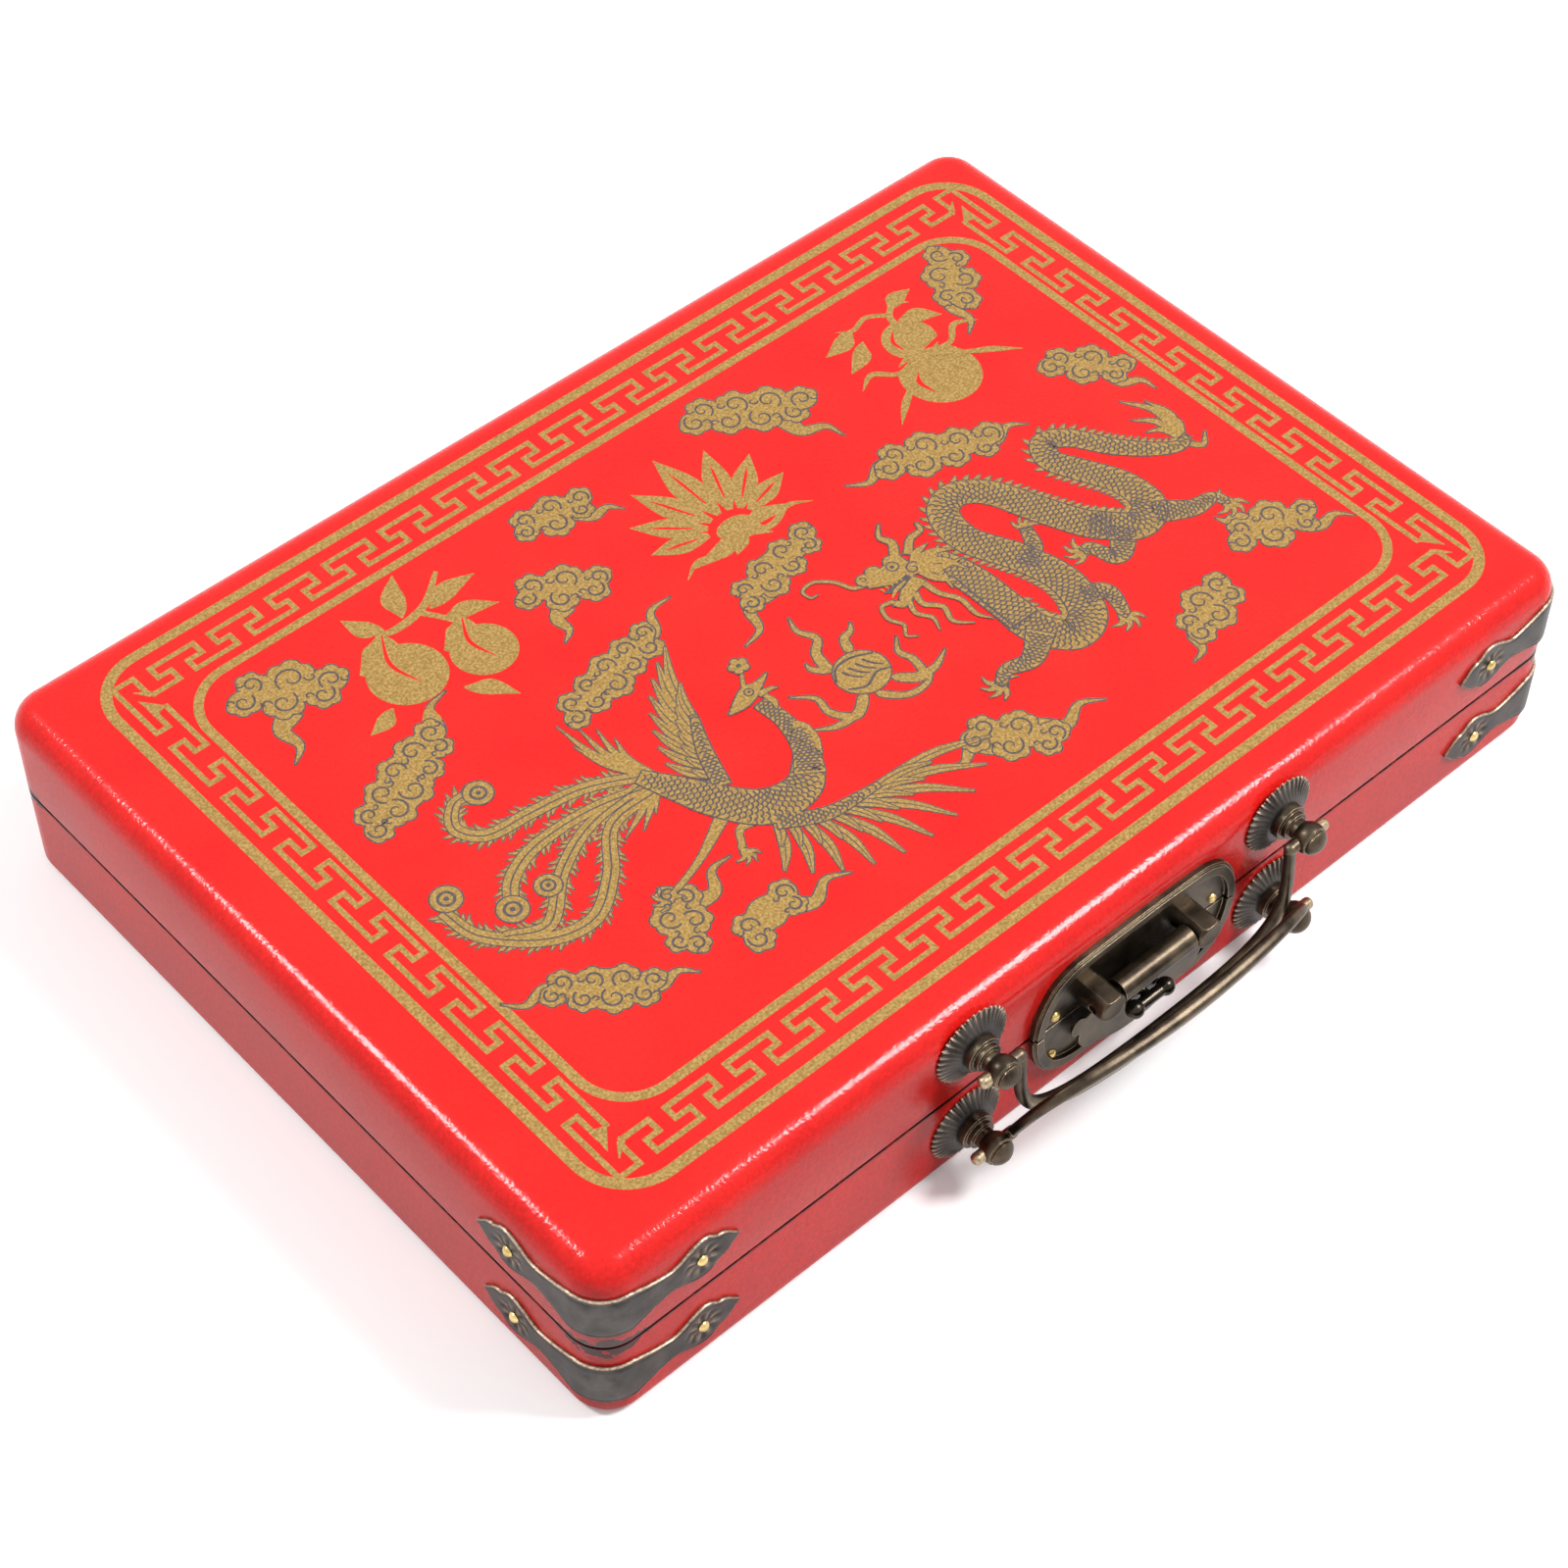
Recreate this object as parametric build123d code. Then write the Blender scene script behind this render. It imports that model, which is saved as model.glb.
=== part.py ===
from build123d import *
from math import cos, pi, radians, sin
import os

os.makedirs("parts", exist_ok=True)

# A flat hinged case for a table game, closed by a hasp and carried by two bails.
# Frame: origin at the middle of the underside, +X along the handle side to the right,
# -Y towards the handles, +Z up. All sizes in millimetres.

# --- Driving dimensions: the case ---
case_length = 320.0
case_width = 225.0
half_height = 28.0
seam_gap = 0.5
corner_radius = 10.0
lid_edge_radius = 8.0
base_edge_radius = 3.5
cover_thickness = 0.8
wall_thickness = 8.0
panel_thickness = 5.0
felt_thickness = 0.6
felt_margin = 14.0

# --- Driving dimensions: the loose tile trays ---
tray_clearance = 0.4
tray_rim_drop = 1.2
tray_floor = 3.0
tray_wall = 3.0
pocket_radius = 3.0
dice_bay_length = 44.0
tile_bay_count = 2

# --- Driving dimensions: the corner brackets and their nails ---
bracket_thickness = 0.9
bracket_leg = 40.0
bracket_band_half = 7.0
bracket_neck_half = 3.7
bracket_leaf_half = 7.0
bracket_corner_lap = 2.0
bracket_nail_reach = 29.0
lid_bracket_rise = 12.8
base_bracket_drop = 14.2
nail_head_radius = 1.5
nail_head_height = 1.1
nail_shank_radius = 0.7
nail_length = 6.0

# --- Driving dimensions: the handle posts, their rosettes and the bails ---
handle_centre_x = 1.5
post_spacing = 102.0
lid_post_rise = 17.0
base_post_drop = 13.3
rosette_radius = 11.0
rosette_rim = 0.8
rosette_dome = 2.8
post_shank_radius = 2.0
post_shank_length = 7.0
post_collar_radius = 4.8
post_collar_length = 1.8
post_neck_radius = 2.7
post_head_radius = 4.1
post_head_standoff = 10.6
post_groove_depth = 0.35
post_groove_width = 0.7
bail_pin_radius = 1.6
bail_pin_clearance = 0.08
bail_pin_standoff = 9.8
bail_pin_stub = 2.6
bail_side_gap = 0.3
bail_drop = 24.5
bail_bulge = 3.0
bail_squareness = 5.0
bail_middle_half_width = 3.2
bail_middle_half_thickness = 2.2
lid_bail_lean = 5.0
base_bail_lean = 24.0

# --- Driving dimensions: the latch ---
latch_centre_x = 4.5
plate_half_length = 34.0
plate_height = 19.3
plate_sheet = 0.8
plate_rim_width = 3.0
plate_rim_height = 2.2
plate_rim_step = 0.7
plate_seam_inset = 0.3
plate_nail_offset = 26.5
upper_plate_nail_rise = 3.0
lower_plate_nail_drop = 11.5
stud_spacing = 32.6
stud_radius = 4.0
stud_standoff = 10.0
stud_facet = 3.4
stud_rise = 5.8
barrel_radius = 3.25
barrel_side_gap = 0.3
hinge_pin_radius = 1.25
running_clearance = 0.05
flap_sheet = 0.8
flap_standoff = 3.25
flap_bottom_drop = 18.0
flap_half_width = 23.5
flap_shoulder_gap = 2.2
flap_neck_rise = 1.2
flap_shoulder_fall = 1.6
flap_ear_fall = 0.4
flap_lobe_swell = 1.3
knob_drop = 6.8
knob_disc_radius = 5.0
knob_disc_thickness = 0.8
knob_neck_radius = 1.3
knob_bar_radius = 1.6
knob_bar_reach = 5.2
knob_bar_standoff = 7.2
knob_ball_radius = 2.4
spindle_radius = 1.5
cam_thickness = 0.7
cam_hub_radius = 3.2
cam_reach = 7.5
cam_half_width = 2.0
cam_gap = 0.35
strike_gap = 0.3
strike_sheet = 0.7
strike_start = 4.0
strike_end = 9.2
slide_gap = 0.1

# --- Driving dimensions: the two butt hinges at the back ---
hinge_spacing = 190.0
hinge_length = 28.0
hinge_leaf_height = 13.0
hinge_leaf_sheet = 1.0
knuckle_radius = 2.5
knuckle_count = 5
knuckle_gap = 0.15
knuckle_wall_gap = 0.2
back_pin_radius = 1.2
hinge_nail_spacing = 9.5

# --- Places worked out from the sizes above ---
case_height = 2 * half_height + seam_gap
seam_z = case_height / 2
lid_rim_z = half_height + seam_gap
front_y = -case_width / 2
back_y = case_width / 2
cavity_length = case_length - 2 * (cover_thickness + wall_thickness)
cavity_width = case_width - 2 * (cover_thickness + wall_thickness)
cavity_depth = half_height - cover_thickness - panel_thickness
lid_bracket_z = seam_z + lid_bracket_rise
base_bracket_z = seam_z - base_bracket_drop
lid_post_z = seam_z + lid_post_rise
base_post_z = seam_z - base_post_drop
bail_half_span = post_spacing / 2 - post_head_radius - bail_side_gap - bail_pin_radius
barrel_standoff = flap_standoff + barrel_radius
barrel_z = seam_z + stud_rise
knob_z = seam_z - knob_drop
hinge_axis_y = back_y + knuckle_wall_gap + knuckle_radius
sides = (-1, 1)


# --- Shared shapes ---

def rounded_slab(length, width, height, radius):
    """A flat slab with rounded upright corners, standing on z = 0."""
    outline = RectangleRounded(length, width, radius)
    return extrude(outline, height)


def half_block(inset, low, high, edge_radius):
    """One half of the case, rim down, set in from the outside by inset, its outer edge rounded."""
    slab = rounded_slab(
        case_length - 2 * inset,
        case_width - 2 * inset,
        high - low,
        corner_radius - inset,
    )
    top_edges = slab.faces().sort_by(Axis.Z)[-1].edges()
    return Pos(0, 0, low) * fillet(top_edges, edge_radius - inset)


def box_between(low, high):
    """A box from its lowest to its highest corner."""
    size = [b - a for a, b in zip(low, high)]
    middle = [(a + b) / 2 for a, b in zip(low, high)]
    return Pos(*middle) * Box(*size)


def on_front(x, z):
    """A place on the handle side: local z points out of the case, local x stays along +X."""
    return Location(Plane(origin=(x, front_y, z), x_dir=(1, 0, 0), z_dir=(0, -1, 0)))


def front_disc(x, z, radius, near, far):
    """A round bar square to the handle side, between two standoffs from the leather."""
    bar = Cylinder(radius, far - near, align=(Align.CENTER, Align.CENTER, Align.MIN))
    return on_front(x, z) * Pos(0, 0, near) * bar


def bar_along_x(x_low, x_high, y, z, radius):
    """A round bar along X."""
    bar = Cylinder(radius, x_high - x_low)
    return Pos((x_low + x_high) / 2, y, z) * Rot(0, 90, 0) * bar


def nail(place, head_radius=nail_head_radius, head_height=nail_head_height):
    """A dome-headed nail driven along local -z, its head seated at local z = 0."""
    ball_radius = (head_radius**2 + head_height**2) / (2 * head_height)
    ball = Pos(0, 0, head_height - ball_radius) * Sphere(ball_radius)
    head = ball & Pos(0, 0, head_height / 2) * Box(4 * head_radius, 4 * head_radius, head_height)
    shank = Pos(0, 0, -nail_length / 2) * Cylinder(nail_shank_radius, nail_length)
    return place * (head + shank)


def cut_away(part, tools):
    """The part with every tool's space removed."""
    for tool in tools:
        part = part - tool
    return part


def save(name, *solids):
    """Writes one node; several solids make one group."""
    shape = solids[0] if len(solids) == 1 else Compound(children=list(solids))
    if len(solids) == 1:
        shape = shape.solids()[0] if len(shape.solids()) == 1 else Compound(shape.solids())
    export_step(shape, f"parts/{name}.step")


# --- Fasteners first, because every piece they pass through is drilled for them ---

def bracket_nail_places(z):
    """The four nail places of the two brackets of one half: two on the front, one on each end."""
    places = []
    for side in sides:
        corner_x = side * case_length / 2
        x = corner_x - side * bracket_nail_reach
        places.append(on_front(x, z) * Pos(0, 0, bracket_thickness))
        end_face = Plane(
            origin=(corner_x + side * bracket_thickness, front_y + bracket_nail_reach, z),
            x_dir=(0, 1, 0),
            z_dir=(side, 0, 0),
        )
        places.append(Location(end_face))
    return places


def plate_nail_places(direction):
    """The two nail places of one latch plate; direction is +1 on the lid and -1 on the base."""
    z = seam_z + (upper_plate_nail_rise if direction > 0 else -lower_plate_nail_drop)
    return [on_front(latch_centre_x + side * plate_nail_offset, z) * Pos(0, 0, plate_sheet) for side in sides]


def hinge_nail_places(direction):
    """The six nail places of one half's two back leaves."""
    z = seam_z + direction * hinge_leaf_height * 0.62
    places = []
    for side in sides:
        for step in (-1, 0, 1):
            x = side * hinge_spacing / 2 + step * hinge_nail_spacing
            back_face = Plane(
                origin=(x, back_y + hinge_leaf_sheet, z),
                x_dir=(-1, 0, 0),
                z_dir=(0, 1, 0),
            )
            places.append(Location(back_face))
    return places


lid_bracket_nails = [nail(p) for p in bracket_nail_places(lid_bracket_z)]
base_bracket_nails = [nail(p) for p in bracket_nail_places(base_bracket_z)]
upper_plate_nails = [nail(p) for p in plate_nail_places(1)]
lower_plate_nails = [nail(p) for p in plate_nail_places(-1)]
lid_hinge_nails = [nail(p, head_height=0.8) for p in hinge_nail_places(1)]
base_hinge_nails = [nail(p, head_height=0.8) for p in hinge_nail_places(-1)]


# --- Handle posts and rosettes ---

def post_x(side):
    return handle_centre_x + side * post_spacing / 2


def rosette(side, z):
    """A domed washer: a thin dish whose rim touches the leather and whose crown carries the post."""
    with BuildPart() as dish:
        with BuildSketch(Plane.XZ):
            with BuildLine():
                rim_low = (rosette_radius, 0)
                rim_high = (rosette_radius, rosette_rim)
                crown_out = (post_collar_radius + 0.6, rosette_dome)
                shoulder = ((rosette_radius + crown_out[0]) / 2, rosette_dome * 0.78)
                Line((post_shank_radius, 0), rim_low)
                Line(rim_low, rim_high)
                ThreePointArc(rim_high, shoulder, crown_out)
                Line(crown_out, (post_shank_radius, rosette_dome))
                Line((post_shank_radius, rosette_dome), (post_shank_radius, 0))
            make_face()
        revolve(axis=Axis.Z)
    return on_front(post_x(side), z) * dish.part


def post(side, z):
    """A turned post: shank in the wall, stepped collar on the rosette, grooved ball head with a cross hole."""
    seat = rosette_dome
    shank = Pos(0, 0, (seat - post_shank_length) / 2) * Cylinder(post_shank_radius, seat + post_shank_length)
    collar = Pos(0, 0, seat + post_collar_length / 2) * Cylinder(post_collar_radius, post_collar_length)
    step = Pos(0, 0, seat + post_collar_length) * Cylinder(
        post_collar_radius * 0.78, post_collar_length * 0.8, align=(Align.CENTER, Align.CENTER, Align.MIN)
    )
    neck_length = post_head_standoff - seat
    neck = Pos(0, 0, seat + neck_length / 2) * Cylinder(post_neck_radius, neck_length)
    head = Pos(0, 0, post_head_standoff) * Sphere(post_head_radius)
    groove_z = post_head_standoff + post_head_radius * 0.45
    groove_outer = Cylinder(post_head_radius, post_groove_width)
    groove_inner = Cylinder((post_head_radius**2 * 0.8) ** 0.5 - post_groove_depth, post_groove_width)
    groove = Pos(0, 0, groove_z) * (groove_outer - groove_inner)
    cross_hole = Pos(0, 0, bail_pin_standoff) * Rot(0, 90, 0) * Cylinder(
        bail_pin_radius + bail_pin_clearance, 3 * post_head_radius
    )
    solid = shank + collar + step + neck + head - groove - cross_hole
    return on_front(post_x(side), z) * solid


lid_posts = {side: post(side, lid_post_z) for side in sides}
base_posts = {side: post(side, base_post_z) for side in sides}
post_shanks_lid = [front_disc(post_x(s), lid_post_z, post_shank_radius, -post_shank_length, 0) for s in sides]
post_shanks_base = [front_disc(post_x(s), base_post_z, post_shank_radius, -post_shank_length, 0) for s in sides]


# --- Latch studs ---

def stud(side):
    """A stout round stud with a flat facet on top, a rounded nose and a rivet shank in the lid wall."""
    x = latch_centre_x + side * stud_spacing / 2
    body = Cylinder(stud_radius, stud_standoff - plate_sheet, align=(Align.CENTER, Align.CENTER, Align.MIN))
    nose = body.faces().sort_by(Axis.Z)[-1].edges()
    body = fillet(nose, stud_radius * 0.22)
    facet = Pos(0, stud_facet + stud_radius, 0) * Box(4 * stud_radius, 2 * stud_radius, 4 * stud_standoff)
    shank = Cylinder(post_shank_radius, plate_sheet + post_shank_length, align=(Align.CENTER, Align.CENTER, Align.MAX))
    solid = on_front(x, barrel_z) * Pos(0, 0, plate_sheet) * (body - facet + shank)
    return solid - bar_along_x(x - 2 * stud_radius, x + 2 * stud_radius, front_y - barrel_standoff, barrel_z, hinge_pin_radius)


studs = [stud(side) for side in sides]
stud_shanks = [
    front_disc(latch_centre_x + s * stud_spacing / 2, barrel_z, post_shank_radius, -post_shank_length, plate_sheet)
    for s in sides
]


# --- The two halves: wood box, leather cover, loose tray ---

def build_half(is_lid, edge_radius, drills):
    """Makes one half rim down at z = 0, drills it in place and returns its pieces by name."""
    place = Pos(0, 0, lid_rim_z) if is_lid else Pos(0, 0, half_height) * Rot(180, 0, 0)
    skin = cover_thickness
    outer = half_block(0, 0, half_height, edge_radius)
    wood = half_block(skin, skin, half_height - skin, edge_radius)
    cavity = Pos(0, 0, cavity_depth / 2) * Box(cavity_length, cavity_width, cavity_depth)
    panel_low = cavity_depth
    panel = wood & box_between((-case_length, -case_width, panel_low), (case_length, case_width, half_height))
    ring = wood - panel - cavity
    half_l = cavity_length / 2
    half_w = cavity_width / 2
    front = box_between((-case_length, -case_width, 0), (case_length, -half_w, half_height))
    back = box_between((-case_length, half_w, 0), (case_length, case_width, half_height))
    left = box_between((-case_length, -half_w, 0), (-half_l, half_w, half_height))
    right = box_between((half_l, -half_w, 0), (case_length, half_w, half_height))
    cover = outer - wood - cavity
    pieces = {"panel": panel, "cover": cover, "left_wall": ring & left, "right_wall": ring & right}
    # Turning the base over puts its local back at the front.
    pieces["front_wall"] = ring & (front if is_lid else back)
    pieces["back_wall"] = ring & (back if is_lid else front)
    if not is_lid:
        felt = Pos(0, 0, half_height - felt_thickness) * rounded_slab(
            case_length - 2 * felt_margin, case_width - 2 * felt_margin, felt_thickness, corner_radius
        )
        pieces["cover"] = cover - felt
        pieces["felt"] = felt
    pieces = {name: place * solid for name, solid in pieces.items()}
    for name in ("cover", "front_wall", "back_wall", "left_wall", "right_wall"):
        pieces[name] = cut_away(pieces[name], drills)
    return pieces


def tray(is_lid):
    """A flocked insert: one bay for tiles, split in two, and two small bays for dice and counters."""
    length = cavity_length - 2 * tray_clearance
    width = cavity_width - 2 * tray_clearance
    low = tray_rim_drop
    block = Pos(0, 0, low) * rounded_slab(length, width, cavity_depth - low, pocket_radius)
    pocket_depth = cavity_depth - low - tray_floor
    bay_length = length - dice_bay_length - 3 * tray_wall
    bay_width = (width - (tile_bay_count + 1) * tray_wall) / tile_bay_count
    tile_x = -length / 2 + tray_wall + bay_length / 2
    dice_x = length / 2 - tray_wall - dice_bay_length / 2
    for index in range(tile_bay_count):
        y = -width / 2 + tray_wall + bay_width / 2 + index * (bay_width + tray_wall)
        for x, run in ((tile_x, bay_length), (dice_x, dice_bay_length)):
            block = block - Pos(x, y, low) * rounded_slab(run, bay_width, pocket_depth, pocket_radius)
    place = Pos(0, 0, lid_rim_z) if is_lid else Pos(0, 0, half_height) * Rot(180, 0, 0)
    return place * block


lid_drills = lid_bracket_nails + upper_plate_nails + lid_hinge_nails + post_shanks_lid + stud_shanks
base_drills = base_bracket_nails + lower_plate_nails + base_hinge_nails + post_shanks_base
halves = {
    "lid": build_half(True, lid_edge_radius, lid_drills),
    "base": build_half(False, base_edge_radius, base_drills),
}
for half, pieces in halves.items():
    for name in ("panel", "front_wall", "back_wall", "left_wall", "right_wall"):
        save(f"{half}_{name}", pieces[name])
    save(f"{half}_leather_cover", pieces["cover"])
    save(f"{half}_tile_tray", tray(half == "lid"))
save("base_felt", halves["base"]["felt"])


# --- Corner brackets ---

def leg_outline():
    """One bracket leg in its own plane: x from the case corner along the leg, y up from its middle."""
    edge = [
        (corner_radius - bracket_corner_lap, bracket_band_half),
        (0.34 * bracket_leg, (bracket_band_half + bracket_neck_half) / 2),
        (0.5 * bracket_leg, bracket_neck_half),
        (0.62 * bracket_leg, 0.78 * bracket_leaf_half),
        (0.74 * bracket_leg, bracket_leaf_half),
        (0.87 * bracket_leg, 0.72 * bracket_leaf_half),
        (0.94 * bracket_leg, 0.28 * bracket_leaf_half),
        (bracket_leg, 0),
    ]
    start = -2 * bracket_thickness
    with BuildSketch() as leg:
        with BuildLine():
            Line((start, -bracket_band_half), (start, bracket_band_half))
            Line((start, bracket_band_half), edge[0])
            Spline(*edge)
            Spline(*[(x, -y) for x, y in edge])
            Line((edge[0][0], -edge[0][1]), (start, -bracket_band_half))
        make_face()
    return leg.sketch


def bracket(side, z):
    """A sheet-metal strap round one front corner, with a leaf-shaped leg on each face."""
    grow = 2 * bracket_thickness
    outer = rounded_slab(case_length + grow, case_width + grow, case_height, corner_radius + bracket_thickness)
    inner = rounded_slab(case_length, case_width, case_height, corner_radius)
    depth = corner_radius + 2 * bracket_thickness
    front_plane = Plane(
        origin=(side * case_length / 2, front_y + corner_radius, z), x_dir=(-side, 0, 0), z_dir=(0, -side, 0)
    )
    end_plane = Plane(
        origin=(side * (case_length / 2 - corner_radius), front_y, z), x_dir=(0, 1, 0), z_dir=(1, 0, 0)
    )
    front_leg = extrude(front_plane * leg_outline(), depth if side > 0 else -depth)
    end_leg = extrude(end_plane * leg_outline(), side * depth)
    return (outer - inner) & (front_leg + end_leg)


for half, z, nails in (
    ("lid", lid_bracket_z, lid_bracket_nails),
    ("base", base_bracket_z, base_bracket_nails),
):
    for side, word in ((-1, "left"), (1, "right")):
        save(f"{half}_{word}_bracket", cut_away(bracket(side, z), nails))
    save(f"{half}_bracket_nails", *nails)


# --- Rosettes and posts ---

for half, z, posts in (("lid", lid_post_z, lid_posts), ("base", base_post_z, base_posts)):
    for side, word in ((-1, "left"), (1, "right")):
        save(f"{half}_{word}_rosette", rosette(side, z))
        save(f"{half}_{word}_handle_post", posts[side])


# --- Bails ---

def bail(z, direction, lean):
    """A cast bail. Its middle line is a squared arch between the posts, bowed out of its plane in the
    middle; its oval section swells from the round ends to the grip. direction is -1 hanging, +1 raised."""
    power = 2 / bail_squareness
    steps = 16
    sections = []

    def point(angle):
        x = bail_half_span * abs(cos(angle)) ** power * (1 if cos(angle) >= 0 else -1)
        drop = bail_drop * abs(sin(angle)) ** power
        bulge = bail_bulge * (1 - (x / bail_half_span) ** 2)
        return Vector(x, -bulge, direction * drop)

    # Even steps along the arch: the angle runs quickly past the two corners.
    fine = [point(pi * i / 2000) for i in range(2001)]
    lengths = [0.0]
    for before, after in zip(fine, fine[1:]):
        lengths.append(lengths[-1] + (after - before).length)
    for step in range(steps + 1):
        target = lengths[-1] * step / steps
        index = min(range(len(lengths)), key=lambda i: abs(lengths[i] - target))
        here = fine[index]
        ahead = fine[min(index + 12, 2000)]
        behind = fine[max(index - 12, 0)]
        swell = sin(pi * step / steps) ** 2
        half_width = bail_pin_radius + (bail_middle_half_width - bail_pin_radius) * swell
        half_thick = bail_pin_radius + (bail_middle_half_thickness - bail_pin_radius) * swell
        tangent = (ahead - behind).normalized()
        normal = Vector(0, 1, 0)
        across = (normal - tangent * normal.dot(tangent)).normalized()
        plane = Plane(origin=here, x_dir=across, z_dir=tangent)
        sections.append(plane * Ellipse(half_thick, half_width))
    solid = loft(sections)
    reach = post_spacing / 2 + post_head_radius + bail_pin_stub
    for side in sides:
        low, high = sorted((side * bail_half_span, side * reach))
        solid = solid + bar_along_x(low, high, 0, 0, bail_pin_radius)
        solid = solid + Pos(side * bail_half_span, 0, 0) * Sphere(bail_pin_radius)
    swing = Rot(direction * lean, 0, 0)
    return Pos(handle_centre_x, front_y - bail_pin_standoff, z) * swing * solid


save("lid_bail", bail(lid_post_z, -1, lid_bail_lean))
save("base_bail", bail(base_post_z, 1, base_bail_lean))


# --- Latch ---

def plate_outline(half_length, height):
    """Half of a boat-like oval, flat side down on y = 0: one long arc, two shoulders, two bowed ends."""
    shoulder = (0.62 * half_length, 0.97 * height)
    end = (0.86 * half_length, 0.76 * height)
    with BuildSketch() as outline:
        with BuildLine():
            for side in sides:
                ThreePointArc(
                    (side * half_length, 0),
                    (side * 0.965 * half_length, 0.4 * height),
                    (side * end[0], end[1]),
                )
                ThreePointArc(
                    (side * end[0], end[1]),
                    (side * 0.76 * half_length, 0.89 * height),
                    (side * shoulder[0], shoulder[1]),
                )
            ThreePointArc(shoulder, (0, height), (-shoulder[0], shoulder[1]))
            Line((-half_length, 0), (half_length, 0))
        make_face()
    return outline.sketch


def latch_plate(direction):
    """Half of the lock plate: a thin sheet with a raised rim along its curved edge."""
    height = plate_height - plate_seam_inset
    z = seam_z + direction * (seam_gap / 2 + plate_seam_inset)
    solid = extrude(plate_outline(plate_half_length, height), plate_rim_height - plate_rim_step)
    crown = plate_outline(plate_half_length - plate_rim_step, height - plate_rim_step)
    solid = solid + extrude(crown, plate_rim_height)
    hollow = plate_outline(plate_half_length - plate_rim_width, height - plate_rim_width)
    solid = solid - Pos(0, 0, plate_sheet) * extrude(hollow, plate_rim_height)
    turn = Rot(0, 0, 0) if direction > 0 else Rot(0, 0, 180)
    return on_front(latch_centre_x, z) * turn * solid


def strike():
    """A bent tab on the lower plate that the cam turns under: a front wall and a top wall."""
    low_s = plate_sheet
    front_s = plate_sheet + cam_gap + cam_thickness + strike_gap
    top_z = cam_half_width + strike_gap
    low_z = -cam_half_width
    front_wall = box_between((strike_start, low_z, front_s), (strike_end, top_z + strike_sheet, front_s + strike_sheet))
    top_wall = box_between((strike_start, top_z, low_s), (strike_end, top_z + strike_sheet, front_s + strike_sheet))
    return on_front(latch_centre_x, knob_z) * (front_wall + top_wall)


def flap():
    """The hasp flap: a rolled barrel between the studs and a cloud-edged sheet over the seam."""
    top = barrel_z - seam_z
    neck_half = stud_spacing / 2 - stud_radius - barrel_side_gap
    clear_top = top - barrel_radius - flap_shoulder_gap
    notch_low = -0.33 * flap_bottom_drop
    lobe_low = -0.78 * flap_bottom_drop
    right = [
        ((neck_half, top), (neck_half, clear_top + flap_neck_rise)),
        ((neck_half, clear_top + flap_neck_rise), (0.8 * flap_half_width, clear_top - flap_shoulder_fall)),
    ]
    cusp = (0.88 * flap_half_width, clear_top - flap_ear_fall)
    notch = (0.87 * flap_half_width, notch_low)
    foot = (0.6 * flap_half_width, lobe_low)
    tip = (0, -flap_bottom_drop)
    with BuildSketch() as outline:
        with BuildLine():
            for side in sides:
                for start, end in right:
                    Line((side * start[0], start[1]), (side * end[0], end[1]))
                Line((side * right[-1][1][0], right[-1][1][1]), (side * cusp[0], cusp[1]))
                ThreePointArc(
                    (side * cusp[0], cusp[1]),
                    (side * flap_half_width, (cusp[1] + notch[1]) / 2),
                    (side * notch[0], notch[1]),
                )
                ThreePointArc(
                    (side * notch[0], notch[1]),
                    (side * 0.84 * flap_half_width, (notch[1] + foot[1]) / 2 - flap_lobe_swell),
                    (side * foot[0], foot[1]),
                )
                ThreePointArc(
                    (side * foot[0], foot[1]),
                    (side * 0.3 * flap_half_width, (foot[1] + tip[1]) / 2 - flap_lobe_swell),
                    (side * tip[0], tip[1]),
                )
            Line((-right[0][0][0], top), (right[0][0][0], top))
        make_face()
    sheet = on_front(latch_centre_x, seam_z) * Pos(0, 0, flap_standoff) * extrude(outline.sketch, flap_sheet)
    x_low = latch_centre_x - neck_half
    x_high = latch_centre_x + neck_half
    barrel = bar_along_x(x_low, x_high, front_y - barrel_standoff, barrel_z, barrel_radius)
    bore = bar_along_x(x_low - 1, x_high + 1, front_y - barrel_standoff, barrel_z, hinge_pin_radius + running_clearance)
    spindle_hole = front_disc(latch_centre_x, knob_z, spindle_radius + running_clearance, 0, 2 * flap_standoff)
    return sheet + barrel - bore - spindle_hole


def knob():
    """A turn knob: washer disc, neck, and a cross bar with a ball at each end; its spindle goes inside."""
    disc_s = flap_standoff + flap_sheet + slide_gap
    spindle_s = plate_sheet + cam_gap + cam_thickness
    ball_start = knob_bar_reach - (knob_ball_radius**2 - knob_bar_radius**2) ** 0.5
    ball_end = knob_bar_reach + knob_ball_radius
    with BuildPart() as grip:
        with BuildSketch(Plane.XY):
            with BuildLine():
                Line((-ball_start, knob_bar_radius), (ball_start, knob_bar_radius))
                for side in sides:
                    ThreePointArc(
                        (side * ball_start, knob_bar_radius),
                        (side * knob_bar_reach, knob_ball_radius),
                        (side * ball_end, 0),
                    )
                Line((-ball_end, 0), (ball_end, 0))
            make_face()
        revolve(axis=Axis.X)
    body = front_disc(latch_centre_x, knob_z, knob_disc_radius, disc_s, disc_s + knob_disc_thickness)
    body = body + front_disc(latch_centre_x, knob_z, spindle_radius, spindle_s, disc_s)
    body = body + front_disc(latch_centre_x, knob_z, knob_neck_radius, disc_s, knob_bar_standoff)
    return body + Pos(latch_centre_x, front_y - knob_bar_standoff, knob_z) * grip.part


def cam():
    """The locking tongue on the spindle's inner end, hanging down when the latch is free."""
    near = plate_sheet + cam_gap
    hub = front_disc(latch_centre_x, knob_z, cam_hub_radius, near, near + cam_thickness)
    tongue = on_front(latch_centre_x, knob_z) * box_between(
        (-cam_half_width, -cam_reach, near), (cam_half_width, 0, near + cam_thickness)
    )
    return hub + tongue


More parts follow.
